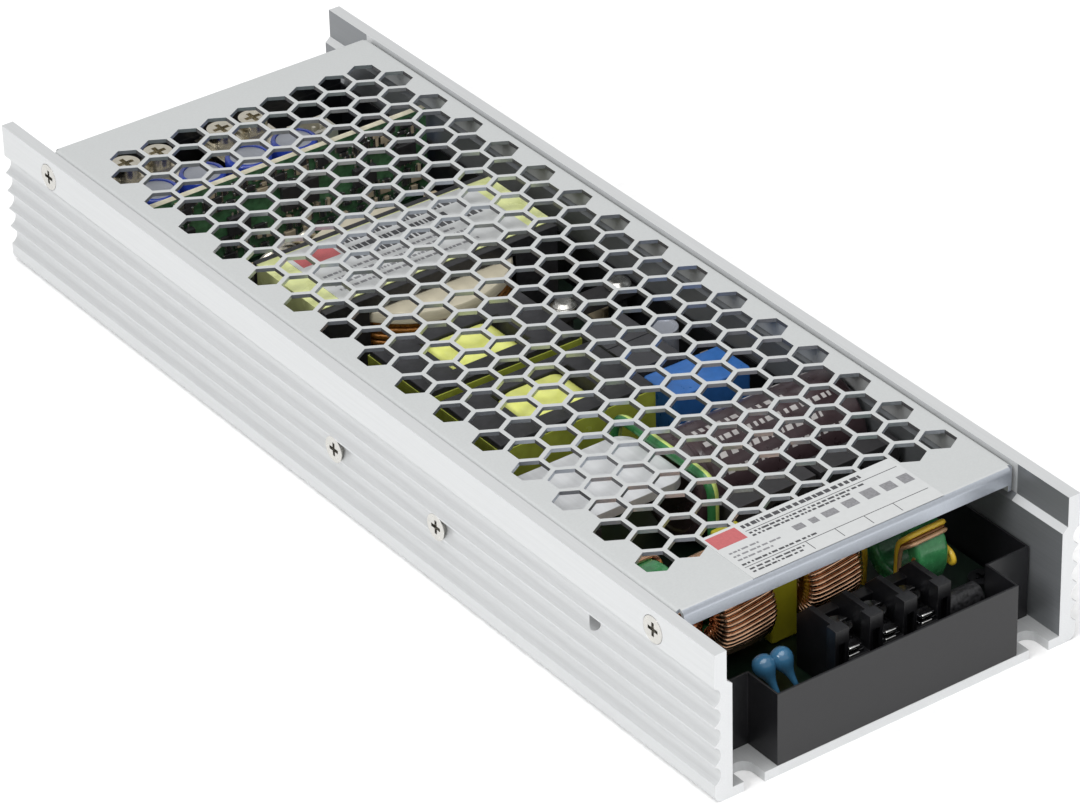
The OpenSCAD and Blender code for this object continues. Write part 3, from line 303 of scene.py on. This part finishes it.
def lathe_in(bm, middle, axis, profile, sides=56, closed=False):
    """Turns a profile of (distance along axis, radius) into a body. One that
    starts and ends on the axis is whole; a ring's profile is closed."""
    along = Vector(axis).normalized()
    across = along.orthogonal().normalized()
    points = [bm.verts.new((Vector(middle) + along * run + across * r) * MM) for run, r in profile]
    lines = [bm.edges.new(pair) for pair in zip(points, points[1:])]
    if closed:
        lines.append(bm.edges.new((points[-1], points[0])))
    bmesh.ops.spin(bm, geom=points + lines, cent=Vector(middle) * MM, axis=along, angle=math.tau,
                   steps=sides, use_merge=True)
    bmesh.ops.remove_doubles(bm, verts=bm.verts, dist=0.002 * MM)


def wire(name, paths, radius, material, sides=3, steps=3):
    """Round wires along lists of points in mm, as one mesh."""
    curve = bpy.data.curves.new(name, "CURVE")
    curve.dimensions = "3D"
    curve.bevel_depth = radius * MM
    curve.bevel_resolution = sides
    curve.resolution_u = steps
    curve.use_fill_caps = True
    for path in paths:
        spline = curve.splines.new("NURBS")
        spline.points.add(len(path) - 1)
        for point, place in zip(spline.points, path):
            point.co = (*(c * MM for c in place), 1)
        spline.order_u = 3
        spline.use_endpoint_u = True
    maker = bpy.data.objects.new(name, curve)
    bpy.context.scene.collection.objects.link(maker)
    mesh = bpy.data.meshes.new_from_object(maker.evaluated_get(bpy.context.evaluated_depsgraph_get()))
    bpy.data.objects.remove(maker)
    bm = bmesh.new()
    bm.from_mesh(mesh)
    bmesh.ops.recalc_face_normals(bm, faces=bm.faces)
    return keep(bm, name, material)


def span(node):
    """Lowest and highest corner of a CAD node, in mm."""
    low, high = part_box(node)
    return low / MM, high / MM


BOARD_TOP = span("main_board")[1].z        # what the parts on the main board stand on
COVER_END = span("cover")[1].y             # the cover reaches this far each way along Y
LEDGE = 24.6                               # faces of the channel higher than this are above its ledge
WOUND_HALVES = ((-158, -22), (22, 158))    # degrees from a toroid's top that its turns cover
TURN_ANGLE = 6.9                           # degrees between turns
TOROID_HOLE = 4.8 / 8.4                    # a core's inner radius over its outer one
ENAMEL_R = 0.5                             # radius of the enamelled copper wire
EARTH_X = -4.6                             # the earth wire runs along the supply at this X
PRINT = 0.02                               # how far a printed field stands proud of its label
LEG_PITCH = 1.27                           # between the legs of a chip


# ---------------------------------------------------------------- toroids


def winding_path(middle, inner, outer, left, right, first, last):
    """Points of one wound half: across the rim, in through the hole, and on.
    Angles count from the +Z of the toroid, whose axis lies along X."""
    points = []
    turns = int(round((last - first) / TURN_ANGLE))
    left, right = left - ENAMEL_R, right + ENAMEL_R
    ease = 1.0
    high = outer + ENAMEL_R
    for i in range(turns):
        deep = inner - ENAMEL_R - (i % 2) * 0.85 * ENAMEL_R * 2
        a0 = first + i * TURN_ANGLE
        a1 = a0 + TURN_ANGLE
        for r, side, a in (
            (high - ease, left, a0), (high, left + ease, a0),
            (high, right - ease, a1), (high - ease, right, a1),
            (deep + ease, right, a1), (deep, right - ease, a1),
            (deep, left + ease, a1), (deep + ease, left, a1),
        ):
            t = math.radians(a)
            points.append((middle.x + side, middle.y + r * math.sin(t), middle.z + r * math.cos(t)))
    down = [(points[0][0], points[0][1], BOARD_TOP)]
    up = [(points[-1][0], points[-1][1] * 0.5 + middle.y * 0.5, BOARD_TOP)]
    return down + points + up


def under_layer(bm, middle, inner, outer, left, right, first, last):
    """Fills the lower layers of a wound half on one side of its core."""
    a = math.radians(first)
    corners = [bm.verts.new((middle + Vector((x, r * math.sin(a), r * math.cos(a)))) * MM)
               for x, r in ((left, inner), (left, outer), (right, outer), (right, inner))]
    bmesh.ops.spin(bm, geom=[bm.faces.new(corners)], cent=middle * MM, axis=(-1, 0, 0),
                   angle=math.radians(last - first), steps=24)


def wound_choke(number, left_stand, right_stand):
    """Two halves of enamelled wire; each stand is what the lower layers add beside the core."""
    low, high = span("choke_core_%d" % number)
    middle = (low + high) / 2
    outer = (high.z - low.z) / 2
    inner = outer * TOROID_HOLE
    half = (high.x - low.x) / 2
    left, right = -half - left_stand, half + right_stand
    paths = [winding_path(middle, inner, outer, left, right, a, b) for a, b in WOUND_HALVES]
    bm = bmesh.new()
    for a, b in WOUND_HALVES:
        under_layer(bm, middle, inner, outer, left, -half - 0.02, a, b)
        under_layer(bm, middle, inner, outer, half + 0.02, right, a, b)
    bmesh.ops.recalc_face_normals(bm, faces=bm.faces)
    # The lower layers are coloured dark as painted shade between the turns.
    mount(keep(bm, "choke_%d_lower_layers" % number, SHADED_COPPER, smooth=False), "copper")
    mount(wire("choke_%d_wire" % number, paths, ENAMEL_R, COPPER), "copper",
          "choke_winding_%d" % number)


def round_core(core, x, angle, lift):
    """A point at x, lifted off the rim of a bare core, at an angle from +Z towards the input end."""
    middle, outer = core
    t = math.radians(angle)
    r = outer + lift
    return (x, middle.y - r * math.sin(t), middle.z + r * math.cos(t))


def bare_choke():
    """The third choke: bare paint, and a band of three wires over its rim."""
    low, high = span("choke_core_3")
    middle, outer = (low + high) / 2, (high.z - low.z) / 2
    core = (middle, outer)
    inner = 0.62 * outer
    for name, start, wire_r, material in (
        ("yellow", 45, 0.54, YELLOW_WIRE), ("brown", 50.4, 0.32, BROWN_WIRE), ("tan", 55.2, 0.43, TAN_WIRE),
    ):
        left, right = low.x - 0.9 - wire_r, high.x + 0.1 + wire_r
        paths = []
        for a in (start, start + 115, start - 150):
            band = [round_core(core, x, a + turn, lift) for x, turn, lift in (
                (left, 2, -3.2), (left, 1.5, -1.0), (left + 0.9, 1, wire_r), (low.x + 1.5, 0.5, wire_r),
                (high.x - 1.2, 0, wire_r), (right - 0.4, 0, wire_r - 0.3), (right, 0, -1.4),
                (right, 3, inner - outer))]
            foot_y = band[0][1]
            paths.append([(left, foot_y + 0.3, BOARD_TOP), (left, foot_y + 0.1, BOARD_TOP + 3)] + band)
        if name == "yellow":
            paths.append([round_core(core, high.x + 0.7, a, 0.2 + lift) for a, lift in (
                (104, -2.4), (106, -0.6), (100, 0.3), (92, -0.3), (86, -1.6), (84, -3.4))])
        else:
            paths.append([round_core(core, low.x - 1, start + 22, 0),
                          (low.x - 3.4, middle.y - 7.6, BOARD_TOP + 5.2),
                          (low.x - 5.2, middle.y - 6.2, BOARD_TOP + 3),
                          (low.x - 5.6, middle.y - 5.8, BOARD_TOP)])
        piece = wire("choke_3_wire_" + name, paths, wire_r, material)
        if name == "yellow":
            mount(piece, "copper", "choke_winding_3")
        else:
            mount(piece, "copper")


# ------------------------------------------------------------ input parts


def disc_capacitors():
    """Two resin drops that lean back and run out into their coated legs."""
    drop = ((0, 0), (0.12, 0.75), (0.45, 1.4), (1.05, 1.9), (1.85, 2.15), (2.7, 2.1), (3.5, 1.75),
            (4.3, 1.25), (5.1, 0.88), (6.0, 0.66), (7.0, 0.52), (7.9, 0.44), (8.0, 0))
    bm = bmesh.new()
    for top, foot in (
        ((-20.5, -102.3, BOARD_TOP + 8.0), (-19.3, -107.0, BOARD_TOP + 1.0)),
        ((-17.1, -102.9, BOARD_TOP + 8.4), (-15.5, -107.4, BOARD_TOP + 1.4)),
    ):
        top, foot = Vector(top), Vector(foot)
        lathe_in(bm, top, foot - top, drop, 28)
        for side in (-1, 1):
            rod_in(bm, foot + Vector((0.4 * side, 0.5, 0.6)), (0, -0.1, -1), 0.34,
                   foot.z + 0.5 - BOARD_TOP, sides=14)
    bmesh.ops.recalc_face_normals(bm, faces=bm.faces)
    mount(keep(bm, "disc_capacitors", BLUE_RESIN), "blue_disc", "y_capacitors")


def terminal_plates():
    """Clamp plates under the screws, coloured dark as painted shade, with bright bars on their front edges
    as painted highlights.
    """
    low, high = span("terminal_clamps")
    pitch = (high.x - low.x - 5.0) / 2
    plates, edges = bmesh.new(), bmesh.new()
    for i in (-1, 0, 1):
        x = (low.x + high.x) / 2 + i * pitch
        box_in(plates, (x - 2.0, low.y + 0.2, low.z), (x + 2.0, low.y + 3.2, low.z + 0.7), 0.15)
        box_in(plates, (x - 2.6, low.y + 2.9, low.z), (x + 2.6, high.y, low.z + 0.7), 0.15)
        # Painted highlights: two bright bars along the front edge of each clamp.
        for z in (low.z, low.z + 1.5):
            box_in(edges, (x - 1.5, low.y - 0.1, z - 0.1), (x + 0.9, low.y + 0.5, z + 0.55), 0.22, 3)
        box_in(plates, (x - 1.8, low.y + 0.2, low.z + 1.4), (x + 1.5, low.y + 2.4, low.z + 1.9), 0.12)
    mount(keep(plates, "clamp_plates", SHADED_TIN, smooth=False), "tinned", "terminal_clamps")
    mount(keep(edges, "clamp_glint_edges", SOLDER), "tinned")
    # The terminal screws get a painted shade.
    softened("terminal_screws", 0.25, SHADED_SCREW, "screw", 3)


def tray_rear_edge():
    """The tray's wall behind the output posts, folded up higher than its sides."""
    low, high = span("insulation_tray")
    bm = bmesh.new()
    box_in(bm, (low.x + 0.2, high.y - 0.35, high.z - 0.4), (high.x - 0.2, high.y, high.z + 2.6), 0.08)
    mount(keep(bm, "tray_rear_edge", BLACK_SHEET, smooth=False), "tray")


# ---------------------------------------------------------------- capacitors


def bulk_capacitor():
    """The lying capacitor: its shrunk sleeve with a bead, its seal and pale print."""
    low, high = span("bulk_capacitor")
    r = (high.y - low.y) / 2
    middle = Vector((low.x, (low.y + high.y) / 2, high.z - r))
    length = high.x - low.x
    bm = bmesh.new()
    profile = [(0.5, 0), (0.45, r - 2.1), (0.05, r - 1.7), (0.0, r - 0.9), (0.3, r - 0.3), (0.9, r),
               (2.6, r), (3.1, r - 0.5), (3.9, r - 0.55), (4.5, r), (length - 1.0, r),
               (length - 0.35, r - 0.3), (length - 0.05, r - 1.0), (length - 0.35, r - 1.6),
               (length - 0.4, 0)]
    lathe_in(bm, middle, (1, 0, 0), profile)
    bmesh.ops.recalc_face_normals(bm, faces=bm.faces)
    split_by_angle(bm, 40)
    mount(keep(bm, "bulk_capacitor_body", BROWN_SLEEVE), "dark_case", "bulk_capacitor")
    draw = random.Random(11)
    bm = bmesh.new()
    even_row = -34    # the row round this angle has long dashes, all alike
    for angle, share in ((58, 0.9), (40, 0.8), (22, 0.92), (2, 0.7), (even_row, 1.0)):
        x = low.x + 5.5
        end = x + (length - 8) * share
        while x < end:
            run = 1.8 if angle == even_row else draw.uniform(0.5, 1.5)
            made = len(bm.verts)
            box_in(bm, (x, middle.y - 0.55, high.z - 0.02), (x + run, middle.y + 0.55, high.z + 0.015))
            bm.verts.ensure_lookup_table()
            bmesh.ops.rotate(bm, verts=bm.verts[made:], cent=middle * MM,
                             matrix=Matrix.Rotation(math.radians(angle), 3, "X"))
            x += run + (1.4 if angle == even_row else draw.uniform(0.45, 1.1))
    mount(keep(bm, "bulk_capacitor_print", PALE_PRINT, smooth=False), "label")


def output_capacitors():
    """Cans in blue sleeves that curl over the rims of their bright tops."""
    low, high = span("output_capacitors")
    r = (high.y - low.y) / 2
    count = 4
    pitch = (high.x - low.x - 2 * r) / (count - 1)
    height = high.z - low.z
    sleeve = [(0, r - 1.2), (0, r - 0.8), (0.15, r - 0.2), (0.6, r), (1.3, r), (1.6, r - 0.5),
              (2.2, r - 0.5), (2.6, r), (height - 0.7, r), (height - 0.25, r - 0.15),
              (height - 0.05, r - 0.5), (height - 0.1, r - 0.95), (height - 0.5, r - 1.0),
              (height - 0.5, r - 1.2)]
    top = [(height - 1.6, 0), (height - 1.6, r - 1.05), (height - 0.32, r - 1.05),
           (height - 0.26, r - 1.2), (height - 0.26, 0)]
    sleeves, tops = bmesh.new(), bmesh.new()
    for i in range(count):
        base = (low.x + r + i * pitch, (low.y + high.y) / 2, low.z)
        lathe_in(sleeves, base, UP, sleeve, 40, True)
        lathe_in(tops, base, UP, top, 40)
    for bm in (sleeves, tops):
        bmesh.ops.recalc_face_normals(bm, faces=bm.faces)
        split_by_angle(bm, 50)
    mount(keep(sleeves, "output_capacitor_sleeves", BLUE_SLEEVE), "can", "output_capacitors")
    mount(keep(tops, "output_capacitor_tops", CAN), "can")


# ----------------------------------------------------------------- windings


def transformer_coil():
    """Taped cheeks above and below turns of litz wire."""
    low, high = span("transformer_coil")
    middle = (low + high) / 2
    r = (high.x - low.x) / 2
    post = 8.9    # radius of the hole through the coil
    bm = bmesh.new()
    for z, top in ((low.z, low.z + 1.4), (high.z - 2.6, high.z)):
        profile = [(z - low.z, post), (z - low.z, r - 0.3), (z - low.z + 0.3, r), (top - low.z - 0.5, r),
                   (top - low.z - 0.12, r - 0.25), (top - low.z, r - 0.9), (top - low.z, post)]
        lathe_in(bm, (middle.x, middle.y, low.z), UP, profile, 96, True)
    bmesh.ops.recalc_face_normals(bm, faces=bm.faces)
    split_by_angle(bm, 40)
    mount(keep(bm, "transformer_coil_cheeks", CREAM), "cream_coil", "transformer_coil")
    wire_r = 0.72
    turns = int((high.z - low.z - 4.3) / (2 * wire_r))
    turn_r = r - wire_r - 0.25
    steps = 40    # points to a turn
    path = []
    for k in range(turns * steps + 1):
        a = math.tau * k / steps
        z = low.z + 1.5 + wire_r + k / steps * 2 * wire_r
        path.append((middle.x + turn_r * math.cos(a), middle.y + turn_r * math.sin(a), z))
    mount(wire("transformer_turns", [path], wire_r, LITZ, sides=2, steps=2), "litz")


def secondary_tails():
    """Thick tinned ends of the output winding, arched behind the core to the board."""
    low, high = span("transformer_coil")
    middle, r = (low + high) / 2, (high.x - low.x) / 2 - 0.3
    paths = []
    for k, (reach, top) in enumerate(((11.6, 25.4), (11.0, 25.0), (9.6, 24.2), (8.2, 23.2))):
        y = span("transformer_core")[1].y + 1.6 + 1.75 * k
        x = middle.x - math.sqrt(r * r - (y - middle.y) ** 2)
        paths.append([(x - run, y, z) for run, z in (
            (0, 17.0), (0.7, 18.0), (2.2, top - 1.0), (reach / 2, top + 1.2), (reach, top - 1.2),
            (reach + 0.3, 16.0), (reach + 0.3, BOARD_TOP))])
    mount(wire("secondary_tails", paths, 0.82, TINNED), "tinned")


def pillar_screws():
    """Two pan head screws on a dark bar that holds devices down."""
    y, top = 10.2, BOARD_TOP + 9.4
    bar, heads = bmesh.new(), bmesh.new()
    box_in(bar, (16.2, y - 2.6, top - 1.8), (36.0, y + 2.6, top), 0.3)
    for x in (20.0, 33.0):
        rod_in(bar, (x, y, BOARD_TOP), UP, 1.9, 7.8, sides=24)
        rod_in(heads, (x, y, top), UP, 2.7, 0.9, sides=40)
        rod_in(heads, (x, y, top + 0.9), UP, 2.7, 0.8, sides=40, tip=1.7)
    mount(keep(bar, "device_bar", DARK, smooth=False), "dark_case")
    piece = keep(heads, "device_bar_screws", STEEL, smooth=False)
    mount(round_edges(piece, 0.3, 3), "screw")


# ------------------------------------------------------------ daughter board


def daughter_details():
    """Chips with bright legs, small resistors and solder on the upright board."""
    low, high = span("daughter_board")
    face = low.y
    draw = random.Random(5)
    dark, tan, bright = bmesh.new(), bmesh.new(), bmesh.new()
    for x, z, w, h in (
        (-25, 17.5, 6.2, 4.0), (-11.5, 16.5, 5.0, 4.0), (3, 18.2, 8.6, 5.4),
        (18.5, 16.8, 5.2, 4.0), (28.5, 18.4, 4.6, 4.4),
    ):
        box_in(dark, (x - w / 2, face - 1.5, z - h / 2), (x + w / 2, face - 0.2, z + h / 2), 0.15)
        legs = int(w / LEG_PITCH)
        for i in range(legs):
            leg_x = x + (i - (legs - 1) / 2) * LEG_PITCH
            for side in (-1, 1):
                leg_z = z + side * (h / 2 + 0.45)
                box_in(bright, (leg_x - 0.25, face - 0.8, leg_z - 0.5),
                       (leg_x + 0.25, face, leg_z + 0.5), 0.12)
    for z in (9.6, 11.8, 13.6, 21.6, 23.2, 24.8):
        x = low.x + 1.6 + draw.uniform(0, 1)
        while x < high.x - 1.8:
            w, h = draw.choice(((2.0, 1.2), (1.6, 0.8), (1.2, 2.0), (3.0, 1.6)))
            body = tan if draw.random() < 0.35 else dark
            box_in(body, (x - w / 2 + 0.3, face - 0.9, z - h / 2),
                   (x + w / 2 - 0.3, face - 0.05, z + h / 2), 0.1)
            for side in (-1, 1):
                end = x + side * w / 2
                box_in(bright, (end - 0.3, face - 0.8, z - h / 2), (end + 0.3, face, z + h / 2), 0.15)
            x += w + draw.uniform(0.9, 2.2)
    joints = 26
    for i in range(joints):
        x = low.x + 1.5 + i * (high.x - low.x - 3) / (joints - 1)
        rod_in(bright, (x, face, 8.3), (0, -1, 0), 0.55, 0.8, sides=12, tip=0.25)
    mount(keep(dark, "daughter_chips", DARK, smooth=False), "small", "daughter_parts")
    mount(keep(tan, "daughter_ceramics", CERAMIC, smooth=False), "small")
    mount(keep(bright, "daughter_solder", SOLDER, smooth=False), "tinned")


# ------------------------------------------------------------------ labels


def field_in(bm, left, front, right, back, z):
    """Adds a printed field to the face of a label at height z."""
    box_in(bm, (left, front, z - PRINT), (right, back, z + PRINT))


def printed_rows(name, left, right, back, z, rows, row_h, gap, material, seed):
    """Rows of short dashes that stand for lines of print, each as long as its
    share of the way from left to right."""
    draw = random.Random(seed)
    bm = bmesh.new()
    y = back - row_h
    for share in rows:
        x = left
        end = left + (right - left) * share
        while x < end - 0.4:
            run = min(draw.uniform(0.35, 1.5), end - x)
            field_in(bm, x, y, x + run, y + row_h, z)
            x += run + draw.uniform(0.2, 0.5)
        y -= row_h + gap
    mount(keep(bm, name, material, smooth=False), "label")


def label_fields():
    """Plain fields, rules and rows of dashes on the two labels."""
    low, high = span("cover_label")
    z = high.z
    bm = bmesh.new()
    field_in(bm, low.x + 0.5, high.y - 4.6, low.x + 7.0, high.y - 0.7, z)
    mount(keep(bm, "label_red_field", RED, smooth=False), "label")
    bm = bmesh.new()
    for start, y in ((0.8, low.y + 3.4), (7.8, high.y - 3.0)):
        field_in(bm, low.x + start, y, high.x - 0.8, y + 0.14, z)
    for x in (14.0, 20.5, 27.0, 33.5):
        field_in(bm, low.x + x, low.y + 0.6, low.x + x + 0.14, low.y + 3.4, z)
    mount(keep(bm, "label_rules", INK, smooth=False), "label")
    bm = bmesh.new()
    for x, w, h in ((15.0, 2.2, 1.6), (18.6, 1.6, 1.6), (21.6, 3.0, 1.8), (26.4, 2.8, 2.2),
                    (31.0, 2.8, 2.8), (35.2, 2.6, 2.4), (39.2, 2.4, 2.6)):
        if low.x + x + w < high.x - 0.6:
            field_in(bm, low.x + x, high.y - 8.2, low.x + x + w, high.y - 8.2 + h, z)
    mount(keep(bm, "label_grey_fields", GREY_INK, smooth=False), "label")
    for name, left, right, back, rows, row_h, gap, ink, seed in (
        ("title", low.x + 8.0, high.x - 8.0, high.y - 1.0, (1,), 1.0, 0.5, INK, 3),
        ("top", low.x + 8.0, high.x - 9.0, high.y - 3.5, (1, 0.85), 0.5, 0.45, INK, 8),
        ("middle", low.x + 1.2, low.x + 14.0, low.y + 8.6, (0.5, 0.8, 0.6), 0.45, 0.8, GREY_INK, 4),
        ("rule", low.x + 0.9, high.x - 2.0, low.y + 4.6, (0.42,), 0.5, 0.4, INK, 9),
        ("foot", low.x + 1.2, low.x + 13.4, low.y + 2.8, (1, 0.9), 0.45, 0.5, INK, 5),
    ):
        printed_rows("label_print_" + name, left, right, back, z, rows, row_h, gap, ink, seed)
    low, high = span("transformer_label")
    z = high.z
    printed_rows("transformer_print", low.x + 11, high.x - 2, high.y - 2.2, z,
                 (0.9, 0.75, 0.95), 1.6, 1.5, INK, 6)
    printed_rows("transformer_small_print", low.x + 2, high.x - 4, low.y + 9.0, z,
                 (0.8, 0.95, 0.6, 0.85), 0.7, 1.2, GREY_INK, 7)
    bm = bmesh.new()
    field_in(bm, low.x + 1.0, high.y - 6.4, low.x + 9.6, high.y - 2.0, z)
    mount(keep(bm, "transformer_red_field", RED, smooth=False), "label")


# --------------------------------------------------------------- earth wire


def earth_wire():
    """Up from the board, forward under the cover, and down to the board."""
    route = [(EARTH_X, y, z) for y, z in (
        (-39.6, 7), (-39.6, 14), (-39.7, 20), (-40, 24), (-40.8, 26), (-42.6, 27), (-45, 27.2),
        (-52, 27.2), (-60, 27.2), (-65.4, 27.2), (-67.4, 26.8), (-68.7, 25.4), (-69, 23),
        (-69, 16), (-69, 7))]
    piece = wire("earth_wire_sleeve", [route], 1.1, striped_sleeve(), sides=5, steps=6)
    mount(piece, "earth", "earth_wire")


def striped_sleeve():
    """Green sleeve with a yellow stripe along its right side."""
    green, yellow = (0.03, 0.16, 0.05), (0.50, 0.62, 0.16)
    made = finish("earth_sleeve", green, 0.3, tint=0.05, coat=0.2)
    tree = made.node_tree
    shader = tree.nodes["Principled BSDF"]
    place = tree.nodes.new("ShaderNodeTexCoord")
    parts = tree.nodes.new("ShaderNodeSeparateXYZ")
    side = tree.nodes.new("ShaderNodeMath")
    side.operation = "GREATER_THAN"
    side.inputs[1].default_value = (EARTH_X - 0.25) * MM
    mix = tree.nodes.new("ShaderNodeMix")
    mix.data_type = "RGBA"
    mix.inputs["A"].default_value = (*green, 1)
    mix.inputs["B"].default_value = (*yellow, 1)
    tree.links.new(place.outputs["Object"], parts.inputs["Vector"])
    tree.links.new(parts.outputs["X"], side.inputs[0])
    tree.links.new(side.outputs["Value"], mix.inputs["Factor"])
    tree.links.new(mix.outputs["Result"], shader.inputs["Base Color"])
    return made


# ------------------------------------------------------------------- build


def shaded_inside(middle, normal):
    """Faces of the channel that look into it, below the cover and beyond its ends. They are coloured darker
    as painted shade.
    """
    under_cover = abs(middle.y) < COVER_END
    outward = normal.x * middle.x
    low_wall, rim = 38, 39.8    # the walls' inner faces are nearer the middle than these
    below = abs(middle.x) < low_wall and 1.5 < middle.z < LEDGE and outward <= 0
    below = below and (under_cover or normal.z < 0.5)
    beyond = abs(middle.y) > COVER_END and abs(middle.x) < rim and middle.z > LEDGE and outward < 0
    return abs(normal.y) < 0.5 and (below or beyond)


def sawn_end(middle, normal):
    """The two ends of the extrusion, and the tabs beside the notches."""
    return abs(normal.y) > 0.9 and abs(middle.y) > 114


def shaded_hole_walls(middle, normal):
    """Walls of the holes in the cover, coloured dark as painted shade."""
    return abs(normal.z) < 0.2 and middle.z > 29.9


def folded_end(middle, normal):
    """The lips at the two ends of the cover."""
    return abs(normal.y) > 0.45


def sawn_top(middle, normal):
    """The top edge of the upright board."""
    return normal.z > 0.9


SOFTENED = [
    ("insulation_tray", 0.1, BLACK_SHEET, "tray"),
    ("terminal_block", 0.18, BLOCK, "block"),
    ("input_fuse", 0.3, SLEEVE, "sleeve_black"),
    ("x_capacitor", 0.5, OLIVE, "olive_box"),
    ("bridge_rectifiers", 0.3, DARK, "dark_case"),
    ("film_capacitor", 0.4, BLUE_BOX, "film_blue"),
    ("relay", 0.15, GREY_BOX, "relay_grey"),
    ("bias_capacitor", 0.2, CAN, "can"),
    ("heat_spreader", 0.2, PALE_METAL, "spreader"),
    ("spreader_devices", 0.2, DARK, "dark_case"),
    ("power_transistors", 0.2, DARK, "dark_case"),
    ("inductor_core_1", 0.3, FERRITE, "ferrite"),
    ("inductor_core_2", 0.3, FERRITE, "ferrite"),
    ("inductor_coil_1", 0.5, YELLOW_TAPE, "coil_tape"),
    ("inductor_coil_2", 0.5, YELLOW_TAPE, "coil_tape"),
    ("inductor_tape_1", 0.08, OLIVE_TAPE, "tape"),
    ("inductor_tape_2", 0.08, OLIVE_TAPE, "tape"),
    ("transformer_core", 0.3, FERRITE, "ferrite"),
    ("transformer_tape", 0.08, PALE_TAPE, "pale_tape"),
    ("output_busbars", 0.2, TINNED, "tinned"),
    ("output_posts", 0.2, BRASS, "post"),
    ("output_screws", 0.2, TINNED, "tinned"),
    ("trimmer", 0.2, TRIM_BLUE, "trim_blue"),
    ("signal_connector", 0.1, IVORY, "ivory"),
    ("cover_screws", 0.06, STEEL, "screw"),
    ("device_screws", 0.06, STEEL, "screw"),
    ("small_parts", 0.2, CERAMIC, "small"),
]

add_studio()
for node, width, material, slot in SOFTENED:
    softened(node, width, material, slot)
# The channel's inner faces get a painted shade; the sawn ends show their bare metal.
softened("chassis", 0.14, METAL, "anodised", accents=[(INSIDE_SHADE, shaded_inside), (SAWN, sawn_end)],
         cuts=(-COVER_END, COVER_END))
# The walls of the cover's holes get a painted shade.
softened("cover", 0.1, SHEET, "cover", accents=[(HOLE_WALL_SHADE, shaded_hole_walls), (FOLD, folded_end)])
softened("daughter_board", 0.08, DAUGHTER, "board", accents=[(RAW_EDGE, sawn_top)])

for node, material in (
    ("cover_label", PAPER), ("main_board", BOARD), ("standoffs", STEEL), ("board_screws", DARK_STEEL),
    ("choke_core_1", GREEN), ("choke_core_2", GREEN), ("choke_core_3", GREEN), ("choke_core_4", GREEN),
    ("transistor_pads", PAD), ("transformer_label", PAPER), ("transformer_leads", LITZ),
    ("indicator", LIME),
):
    dress(node, material)

for number, left_stand, right_stand in ((1, 0.6, 2.8), (2, 2.6, 0.8), (4, 0.6, 0.6)):
    wound_choke(number, left_stand, right_stand)
bare_choke()
disc_capacitors()
terminal_plates()
tray_rear_edge()
bulk_capacitor()
output_capacitors()
transformer_coil()
secondary_tails()
pillar_screws()
daughter_details()
label_fields()
earth_wire()
